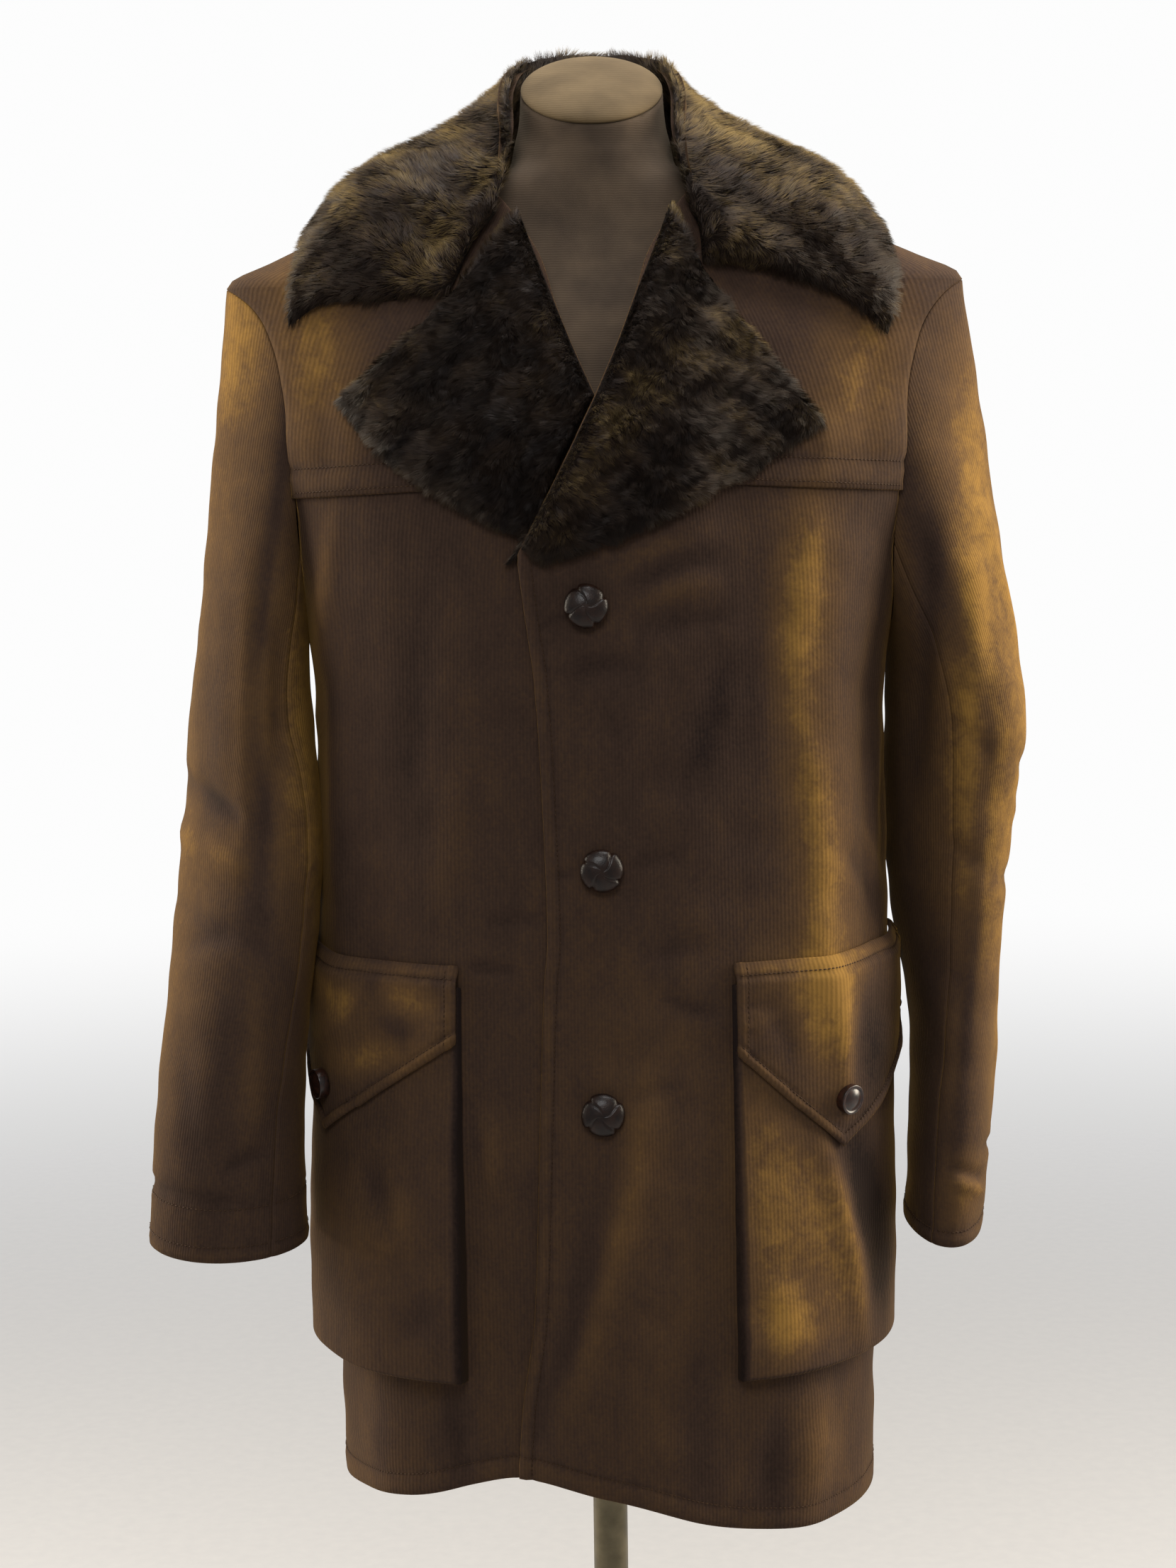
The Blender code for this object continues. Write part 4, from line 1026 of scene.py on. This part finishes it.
def build_stitching():
    """All topstitching as one mesh of short sunk threads along the sewn lines."""
    ring = np.array([(0, 1), (0.87, -0.5), (-0.87, -0.5)])
    ends = np.array([(-0.5, 0.35, -0.5), (-0.3, 1.0, 0.5), (0.3, 1.0, 0.5), (0.5, 0.35, -0.5)])
    vertices, faces = [], []
    for points, normals in seams:
        distance = lengths(points[None], 1)[0]
        places = np.arange(STITCH, distance[-1] - STITCH, STITCH)
        if not len(places):
            continue

        def at(values, where):
            return np.stack([np.interp(where, distance, values[:, k]) for k in range(3)], axis=-1)

        middles = at(points, places)
        ups = unit(at(normals, places))
        runs = unit(at(points, places + STITCH / 2) - middles)
        for middle, up, run in zip(middles, ups, runs):
            aside = np.cross(up, run)
            first = len(vertices)
            for along, size, rise in ends:
                centre = middle + 0.78 * STITCH * along * run + rise * THREAD * up
                vertices.extend(centre + THREAD * size * (x * aside + y * up) for x, y in ring)
            for k, after in ((0, 1), (1, 2), (2, 0)):
                for low in (first, first + 3, first + 6):
                    faces.append((low + k, low + after, low + 3 + after, low + 3 + k))
            faces += [(first + 2, first + 1, first), (first + 9, first + 10, first + 11)]
    mesh_piece("topstitching", vertices, faces, [THREAD_LOOK], None)


def refined(node, material, levels=2):
    """A rounder copy of a CAD node: its triangles merged to quads, hard edges kept, subdivided."""
    piece = bpy.data.objects.new(f"{node}_smooth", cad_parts[node].data.copy())
    bpy.context.scene.collection.objects.link(piece)
    bpy.ops.object.select_all(action="DESELECT")
    bpy.context.view_layer.objects.active = piece
    piece.select_set(True)
    bpy.ops.object.mode_set(mode="EDIT")
    bpy.ops.mesh.select_all(action="SELECT")
    bpy.ops.mesh.remove_doubles(threshold=1e-5)
    bpy.ops.mesh.tris_convert_to_quads(face_threshold=radians(30), shape_threshold=radians(60))
    bpy.ops.mesh.select_all(action="DESELECT")
    bpy.ops.mesh.select_mode(type="EDGE")
    bpy.ops.mesh.edges_select_sharp(sharpness=radians(50))
    bpy.ops.transform.edge_crease(value=0.9)
    bpy.ops.object.mode_set(mode="OBJECT")
    smooth = piece.modifiers.new("rounding", "SUBSURF")
    smooth.levels = smooth.render_levels = levels
    bpy.ops.object.modifier_apply(modifier=smooth.name)
    bpy.ops.object.shade_smooth_by_angle(angle=radians(50))
    piece.data.materials.clear()
    piece.data.materials.append(material)
    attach(piece, "root")
    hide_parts(node)


def stand_on_cloth(model, name, node, angle, height, lift, spin):
    """Puts a copy of a button, modelled at the origin, on the cloth with its axis along the normal."""
    piece = bpy.data.objects.new(name, model.data.copy())
    bpy.context.scene.collection.objects.link(piece)
    point, normal = base_of(body, np.array(angle), np.array(height))
    turn = Vector(normal).to_track_quat("Z", "Y").to_matrix().to_4x4()
    place = Matrix.Translation(Vector(point + lift * normal)) @ turn @ Matrix.Rotation(spin, 4, "Z")
    piece.data.transform(place)
    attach(piece, "root")
    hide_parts(node)


def plaited_button():
    """A leather knot button: a dome of four fat straps, each tucked under the next, cut flat underneath."""
    bpy.ops.object.select_all(action="DESELECT")
    bpy.ops.mesh.primitive_uv_sphere_add(segments=96, ring_count=48, radius=1.0)
    button = bpy.context.object
    bpy.ops.object.mode_set(mode="EDIT")
    bpy.ops.mesh.select_all(action="SELECT")
    bpy.ops.mesh.bisect(plane_co=(0, 0, -0.42), plane_no=(0, 0, 1), use_fill=True, clear_inner=True)
    bpy.ops.object.mode_set(mode="OBJECT")
    for vertex in button.data.vertices:
        place = vertex.co
        out = (place.x ** 2 + place.y ** 2) ** 0.5
        swing = np.arctan2(place.y, place.x) + 0.9 * (1 - out) ** 2
        strap = (swing / (pi / 2)) % 1.0
        # A strap swells from its tucked edge and ends in a rounded lip over the next one
        lip = 0.11 * np.exp(-((strap - 1.0) / 0.05) ** 2)
        swell = 0.055 * strap - lip - 0.075 * np.exp(-(strap / 0.07) ** 2)
        vertex.co = place * (0.95 + swell * ramp(0.06, 0.30, out) * ramp(-0.42, -0.10, place.z))
    heights = [vertex.co.z for vertex in button.data.vertices]
    low, high = min(heights), max(heights)
    size = Matrix.Diagonal((BUTTON_RADIUS, BUTTON_RADIUS, BUTTON_HEIGHT / (high - low), 1))
    button.data.transform(size @ Matrix.Translation((0, 0, -low)))
    bpy.ops.object.shade_smooth_by_angle(angle=radians(60))
    button.data.materials.append(LEATHER)
    return button


def flap_button():
    """A small polished button: a shallow dome inside a rounded rim."""
    bpy.ops.object.select_all(action="DESELECT")
    bpy.ops.mesh.primitive_cylinder_add(vertices=48, radius=FLAP_BUTTON_RADIUS, depth=FLAP_BUTTON_HEIGHT,
                                        location=(0, 0, FLAP_BUTTON_HEIGHT / 2))
    button = bpy.context.object
    bpy.ops.object.transform_apply()
    bpy.ops.object.mode_set(mode="EDIT")
    bpy.ops.mesh.select_mode(type="FACE")
    bpy.ops.mesh.select_all(action="DESELECT")
    bpy.ops.object.mode_set(mode="OBJECT")
    for face in button.data.polygons:
        face.select = face.normal.z > 0.9
    bpy.ops.object.mode_set(mode="EDIT")
    profile = (0.0016, 0.0), (0.0008, -0.0009), (0.0012, 0.0007), (0.0022, 0.0010), (0.0024, 0.0004)
    for inset, rise in profile:
        bpy.ops.mesh.inset(thickness=inset)
        bpy.ops.transform.translate(value=(0, 0, rise))
    bpy.ops.object.mode_set(mode="OBJECT")
    bevel = button.modifiers.new("rounding", "BEVEL")
    bevel.width, bevel.segments, bevel.limit_method, bevel.angle_limit = 0.0012, 4, "ANGLE", radians(40)
    bpy.ops.object.modifier_apply(modifier=bevel.name)
    bpy.ops.object.shade_smooth_by_angle(angle=radians(50))
    button.data.materials.append(HORN)
    return button


def build_buttons():
    model = plaited_button()
    for number, ((x, height), spin) in enumerate(zip(BUTTONS, (25, 60, 40)), 1):
        lift = float(side_lift(LEFT, np.array(x), np.array(height))) + CLOTH + 2.4 * GAP
        stand_on_cloth(model, f"plaited_button_{number}", f"front_button_{number}",
                       float(angle_at(x, height)), height, lift, radians(spin))
    bpy.data.objects.remove(model)
    model = flap_button()
    for side, name in SIDES:
        pocket = POCKETS[side]
        lift = float(flap_lift(side, np.array(pocket.button_z))) + CLOTH + 2.4 * GAP
        angle = side * mix(pocket.near, pocket.far, pocket.button_turn)
        stand_on_cloth(model, f"{name}_flap_button_polished", f"{name}_flap_button",
                       angle, pocket.button_z, lift, 0.0)
    bpy.data.objects.remove(model)


def linear(hex_colour):
    """An sRGB hex colour as a linear RGBA tuple."""
    parts = [int(hex_colour[i:i + 2], 16) / 255 for i in (1, 3, 5)]
    return tuple(v / 12.92 if v <= 0.04045 else ((v + 0.055) / 1.055) ** 2.4 for v in parts) + (1.0,)


def connect(tree, node, inputs):
    """Gives sockets of a node a value or a (node, output) link."""
    for socket, value in dict(inputs).items():
        if isinstance(value, tuple) and isinstance(value[0], bpy.types.Node):
            tree.links.new(value[0].outputs[value[1]], node.inputs[socket])
        else:
            node.inputs[socket].default_value = value


def add(tree, kind, inputs=(), stops=(), **settings):
    """Adds a shader node with its settings and inputs, and a ramp's stops: positions and hex colours."""
    node = tree.nodes.new(kind)
    for name, value in settings.items():
        setattr(node, name, value)
    for number, (position, colour) in enumerate(stops):
        elements = node.color_ramp.elements
        stop = elements[number] if number < 2 else elements.new(position)
        stop.position, stop.color = position, linear(colour)
    connect(tree, node, inputs)
    return node


def start_material(name, **sockets):
    """A new material, its node tree and its shader with constant socket values."""
    material = bpy.data.materials.new(name)
    material.use_nodes = True
    shader = material.node_tree.nodes["Principled BSDF"]
    for socket, value in sockets.items():
        shader.inputs[socket.replace("_", " ")].default_value = value
    return material, material.node_tree, shader


def corduroy_look():
    """Napped fine-wale cotton cord: a dark velvety ground, painted golden as highlight on ridges, welts and
    lit facets besides the nap's wear, and painted darker as shade in troughs.
    """
    material, tree, shader = start_material(
        "napped_cotton_corduroy", Roughness=0.9, Sheen_Weight=0.17, Sheen_Roughness=0.28,
        Sheen_Tint=linear("#d8a552"), Specular_IOR_Level=0.08)
    grain = add(tree, "ShaderNodeUVMap", uv_map="grain")
    place = add(tree, "ShaderNodeTexCoord")
    # Wales are 1.7 mm apart in fact, drawn at 2.4 mm so that they show
    wales = add(tree, "ShaderNodeTexWave", {
        "Vector": (grain, "UV"), "Scale": 0.31416 / 0.0024, "Distortion": 0.8, "Detail": 2.0,
        "Detail Scale": 0.4}, bands_direction="X")
    stretched = add(tree, "ShaderNodeMapping", {"Vector": (place, "Object"), "Scale": (1.0, 1.0, 0.5)})
    brushed = add(tree, "ShaderNodeTexNoise", {
        "Vector": (stretched, "Vector"), "Scale": 1 / 0.030, "Detail": 7.0, "Roughness": 0.66,
        "Distortion": 0.3})
    fluff = add(tree, "ShaderNodeTexNoise", {"Vector": (place, "Object"), "Scale": 1 / 0.0024, "Detail": 3.0})
    # This attribute carries the painted highlights and painted shade of the creases, welts, strokes and
    # pocket edges
    nap_and_painted_light = add(tree, "ShaderNodeAttribute", attribute_name="nap_and_painted_light")
    mottle = add(tree, "ShaderNodeTexNoise", {"Vector": (place, "Object"), "Scale": 1 / 0.011, "Detail": 6.0,
                                              "Roughness": 0.62, "Distortion": 0.4})
    uneven = add(tree, "ShaderNodeMapRange", {"Value": (mottle, "Fac"), "From Min": 0.3, "From Max": 0.7,
                                              "To Min": 0.72, "To Max": 1.25})
    gold = add(tree, "ShaderNodeMath", {0: (nap_and_painted_light, "Fac"), 1: (uneven, "Result")}, operation="MULTIPLY")
    for pattern, share in ((brushed, 0.34), (fluff, 0.24)):
        gold = add(tree, "ShaderNodeMath", {0: (pattern, "Fac"), 1: share, 2: (gold, "Value")},
                   operation="MULTIPLY_ADD")
    colour = add(tree, "ShaderNodeValToRGB", {"Fac": (gold, "Value")},
                 stops=((0.05, "#1f1715"), (0.29, "#382a22"), (0.60, "#543e27"), (0.98, "#80602f")))
    # The wales' valleys are painted darker where their bump sinks: painted shade in the grooves
    valleys = add(tree, "ShaderNodeMapRange", {"Value": (wales, "Fac"), "To Min": 0.89, "To Max": 1.04})
    shaded = add(tree, "ShaderNodeVectorMath", {0: (colour, "Color"), "Scale": (valleys, "Result")},
                 operation="SCALE")
    connect(tree, shader, {"Base Color": (shaded, "Vector")})
    ribs = add(tree, "ShaderNodeBump", {"Height": (wales, "Fac"), "Distance": 0.0005, "Strength": 0.30})
    hair = add(tree, "ShaderNodeBump", {"Height": (fluff, "Fac"), "Distance": 0.0004, "Strength": 0.5,
                                        "Normal": (ribs, "Normal")})
    connect(tree, shader, {"Normal": (hair, "Normal")})
    return material


def pile_ground_look():
    """The dark knitted ground between the roots of the fur, matt, and painted nearly black in its gaps where
    the bump sinks: painted shade.
    """
    material, tree, shader = start_material("fur_pile_ground", Roughness=0.95, Specular_IOR_Level=0.1)
    grain = add(tree, "ShaderNodeUVMap", uv_map="grain")
    tufts = add(tree, "ShaderNodeTexNoise", {"Vector": (grain, "UV"), "Scale": 1 / 0.003, "Detail": 4.0})
    colour = add(tree, "ShaderNodeValToRGB", {"Fac": (tufts, "Fac")},
                 stops=((0.35, "#0b0705"), (0.70, "#1b120b")))
    connect(tree, shader, {"Base Color": (colour, "Color")})
    bump = add(tree, "ShaderNodeBump", {"Height": (tufts, "Fac"), "Distance": 0.0012, "Strength": 0.8})
    connect(tree, shader, {"Normal": (bump, "Normal")})
    return material


def fur_look():
    """Man-made fur: near-black brown at the roots, lifting to olive-gold at the tips of lighter clumps, and
    lighter still where it faces up, a painted highlight.
    """
    material, tree, shader = start_material(
        "acrylic_fur_pile", Roughness=0.6, Specular_IOR_Level=0.15, Sheen_Weight=0.06, Sheen_Roughness=0.3,
        Sheen_Tint=linear("#b09a66"))
    shade = add(tree, "ShaderNodeAttribute", attribute_name="shade")
    tip = add(tree, "ShaderNodeAttribute", attribute_name="tip")
    light = add(tree, "ShaderNodeMath", {0: (tip, "Fac"), 1: (shade, "Fac")}, operation="MULTIPLY")
    light = add(tree, "ShaderNodeMath", {0: (shade, "Fac"), 1: 0.35, 2: (light, "Value")},
                operation="MULTIPLY_ADD")
    colour = add(tree, "ShaderNodeValToRGB", {"Fac": (light, "Value")},
                 stops=((0.05, "#120a07"), (0.50, "#2a1e14"), (1.00, "#6b5830")))
    connect(tree, shader, {"Base Color": (colour, "Color")})
    return material


def thread_look():
    """Buttonhole thread: twisted cotton a shade lighter than the cord, with a dull gloss."""
    material, tree, shader = start_material("topstitching_thread", Roughness=0.7, Specular_IOR_Level=0.2)
    place = add(tree, "ShaderNodeTexCoord")
    twist = add(tree, "ShaderNodeTexNoise", {"Vector": (place, "Object"), "Scale": 1 / 0.0008, "Detail": 2.0})
    colour = add(tree, "ShaderNodeValToRGB", {"Fac": (twist, "Fac")},
                 stops=((0.3, "#2a1b10"), (0.7, "#432e1a")))
    connect(tree, shader, {"Base Color": (colour, "Color")})
    return material


def leather_look():
    """Polished plaited leather: dark brown, glossy on the straps' crowns, finely grained, black between."""
    material, tree, shader = start_material(
        "plaited_leather", Roughness=0.36, Coat_Weight=0.05, Coat_Roughness=0.15, Specular_IOR_Level=0.25)
    place = add(tree, "ShaderNodeTexCoord")
    grain = add(tree, "ShaderNodeTexVoronoi", {"Vector": (place, "Object"), "Scale": 1 / 0.0011})
    patina = add(tree, "ShaderNodeTexNoise", {"Vector": (place, "Object"), "Scale": 1 / 0.006, "Detail": 4.0})
    colour = add(tree, "ShaderNodeValToRGB", {"Fac": (patina, "Fac")},
                 stops=((0.30, "#0c0605"), (0.75, "#23130b")))
    connect(tree, shader, {"Base Color": (colour, "Color")})
    bump = add(tree, "ShaderNodeBump", {"Height": (grain, "Distance"), "Distance": 0.0002, "Strength": 0.35})
    connect(tree, shader, {"Normal": (bump, "Normal")})
    return material


def horn_look():
    """Polished dark horn: almost black with faint warm streaks and a clear gloss."""
    material, tree, shader = start_material(
        "dark_horn", Roughness=0.32, Coat_Weight=0.12, Coat_Roughness=0.12)
    place = add(tree, "ShaderNodeTexCoord")
    streaks = add(tree, "ShaderNodeTexNoise", {"Vector": (place, "Object"), "Scale": 1 / 0.004, "Detail": 5.0,
                                               "Distortion": 1.5})
    colour = add(tree, "ShaderNodeValToRGB", {"Fac": (streaks, "Fac")},
                 stops=((0.35, "#0d0706"), (0.75, "#341a10")))
    connect(tree, shader, {"Base Color": (colour, "Color")})
    return material


def jersey_look(name, dark, light):
    """Knitted jersey stretched over the form: soft, matt, with a fine rib and slight fading."""
    material, tree, shader = start_material(name, Roughness=0.88, Sheen_Weight=0.1, Sheen_Roughness=0.5,
                                            Sheen_Tint=linear("#e8d4b4"), Specular_IOR_Level=0.2)
    place = add(tree, "ShaderNodeTexCoord")
    # Stitches are about 0.9 mm in fact, drawn at 1.6 mm so that they show
    knit = add(tree, "ShaderNodeTexWave", {
        "Vector": (place, "Object"), "Scale": 0.31416 / 0.0016, "Distortion": 2.5, "Detail": 2.0},
        bands_direction="Z")
    fading = add(tree, "ShaderNodeTexNoise", {"Vector": (place, "Object"), "Scale": 1 / 0.03, "Detail": 5.0})
    colour = add(tree, "ShaderNodeValToRGB", {"Fac": (fading, "Fac")},
                 stops=((0.30, dark), (0.72, light)))
    connect(tree, shader, {"Base Color": (colour, "Color")})
    bump = add(tree, "ShaderNodeBump", {"Height": (knit, "Fac"), "Distance": 0.0003, "Strength": 0.2})
    connect(tree, shader, {"Normal": (bump, "Normal")})
    return material


def metal_look():
    """Lacquered steel tube: olive brown, satin, with faint drawing lines and dulled patches."""
    material, tree, shader = start_material("lacquered_steel", Metallic=0.75)
    place = add(tree, "ShaderNodeTexCoord")
    dulled = add(tree, "ShaderNodeTexNoise", {"Vector": (place, "Object"), "Scale": 1 / 0.02, "Detail": 5.0})
    colour = add(tree, "ShaderNodeValToRGB", {"Fac": (dulled, "Fac")},
                 stops=((0.3, "#57503e"), (0.7, "#7a7059")))
    rough = add(tree, "ShaderNodeMapRange", {"Value": (dulled, "Fac"), "To Min": 0.30, "To Max": 0.52})
    connect(tree, shader, {"Base Color": (colour, "Color")})
    connect(tree, shader, {"Roughness": (rough, "Result")})
    return material


def floor_look():
    """Matt pale grey studio paper that fades into the white room behind the stand."""
    material, tree, shader = start_material("studio_paper", Roughness=0.95, Specular_IOR_Level=0.1)
    place = add(tree, "ShaderNodeTexCoord")
    fibre = add(tree, "ShaderNodeTexNoise", {"Vector": (place, "Object"), "Scale": 60.0, "Detail": 3.0})
    colour = add(tree, "ShaderNodeValToRGB", {"Fac": (fibre, "Fac")},
                 stops=((0.0, "#a3a3a5"), (1.0, "#abaaab")))
    connect(tree, shader, {"Base Color": (colour, "Color")})
    away = add(tree, "ShaderNodeVectorMath", {0: (place, "Object")}, operation="LENGTH")
    fade = add(tree, "ShaderNodeMapRange", {"Value": (away, "Value"), "From Min": 0.8, "From Max": 5.6,
                                            "To Min": 1.0, "To Max": 0.0}, interpolation_type="SMOOTHSTEP")
    connect(tree, shader, {"Alpha": (fade, "Result")})
    return material


def declare_sheets():
    """Looks up each cloth piece's fur and what it rests on, and keeps neither."""
    for name, cut in CUTS.items():
        fur = [bpy.data.objects[f"{name}_fur"]] if f"{name}_fur" in bpy.data.objects else []
        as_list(cut.rests_on)


def area_light(name, place, target, width, height, watts, colour):
    light = bpy.data.lights.new(name, "AREA")
    light.shape, light.size, light.size_y = "RECTANGLE", width, height
    light.energy, light.color = watts, linear(colour)[:3]
    lamp = bpy.data.objects.new(name, light)
    aim = (Vector(target) - Vector(place)).to_track_quat("-Z", "Y").to_matrix().to_4x4()
    lamp.matrix_world = Matrix.Translation(place) @ aim
    bpy.context.scene.collection.objects.link(lamp)


def build_studio():
    """Pale floor in a white room, soft light from both sides, above and in front, and the photo's camera."""
    bpy.ops.object.select_all(action="DESELECT")
    bpy.ops.mesh.primitive_plane_add(size=12, location=(0, 0, 0))
    floor = bpy.context.object
    floor.name = "studio_floor"
    floor.data.materials.append(floor_look())
    middle = (0, 0, 1.1)
    area_light("left_softbox", (-2.2, 0.6, 1.7), middle, 1.2, 2.2, 100, "#fff4e0")
    area_light("right_softbox", (2.2, 0.4, 1.9), middle, 1.2, 2.2, 125, "#fff4e0")
    area_light("top_softbox", (0.2, 0.2, 3.3), middle, 1.8, 1.2, 60, "#ffffff")
    area_light("front_fill", (-0.3, -2.6, 3.1), middle, 1.4, 1.0, 40, "#ffffff")
    world = bpy.data.worlds.new("studio_white")
    world.use_nodes = True
    tree = world.node_tree
    # The white room shows at full strength but lights the cloth less, so that its folds keep their shade
    ray = add(tree, "ShaderNodeLightPath")
    strength = add(tree, "ShaderNodeMath", {0: (ray, "Is Camera Ray"), 1: 0.62, 2: 0.36},
                   operation="MULTIPLY_ADD")
    connect(tree, tree.nodes["Background"], {"Color": linear("#ffffff"), "Strength": (strength, "Value")})
    scene = bpy.context.scene
    scene.world = world
    scene.view_settings.view_transform = "Standard"
    lens = bpy.data.cameras.new("camera")
    lens.sensor_fit, lens.sensor_height, lens.lens = "VERTICAL", 36, 72.54
    camera = bpy.data.objects.new("camera", lens)
    aim = Matrix.Rotation(radians(90 - 8.2), 4, "X") @ Matrix.Rotation(radians(-0.8), 4, "Z")
    camera.matrix_world = Matrix.Translation((-0.009, -2.2, 1.415)) @ aim
    scene.collection.objects.link(camera)
    scene.camera = camera


CORDUROY = corduroy_look()
PILE_GROUND = pile_ground_look()
FUR = fur_look()
THREAD_LOOK = thread_look()
LEATHER = leather_look()
HORN = horn_look()
seams = []

build_back()
build_collar()
for wearer_side, side_name in SIDES:
    build_front(wearer_side, side_name)
    build_yoke(wearer_side, side_name)
    build_lapel(wearer_side, side_name)
    build_sleeve(wearer_side, side_name)
    build_pocket(wearer_side, side_name)
    build_flap(wearer_side, side_name)
build_stitching()
build_buttons()
refined("form_torso", jersey_look("form_jersey", "#3c3127", "#514335"))
refined("form_neck_cap", jersey_look("cap_jersey", "#463823", "#5c4c34"))
stand_metal = metal_look()
for stand_node in ("stand_socket", "stand_pole", "stand_base"):
    refined(stand_node, stand_metal)
declare_sheets()
build_studio()
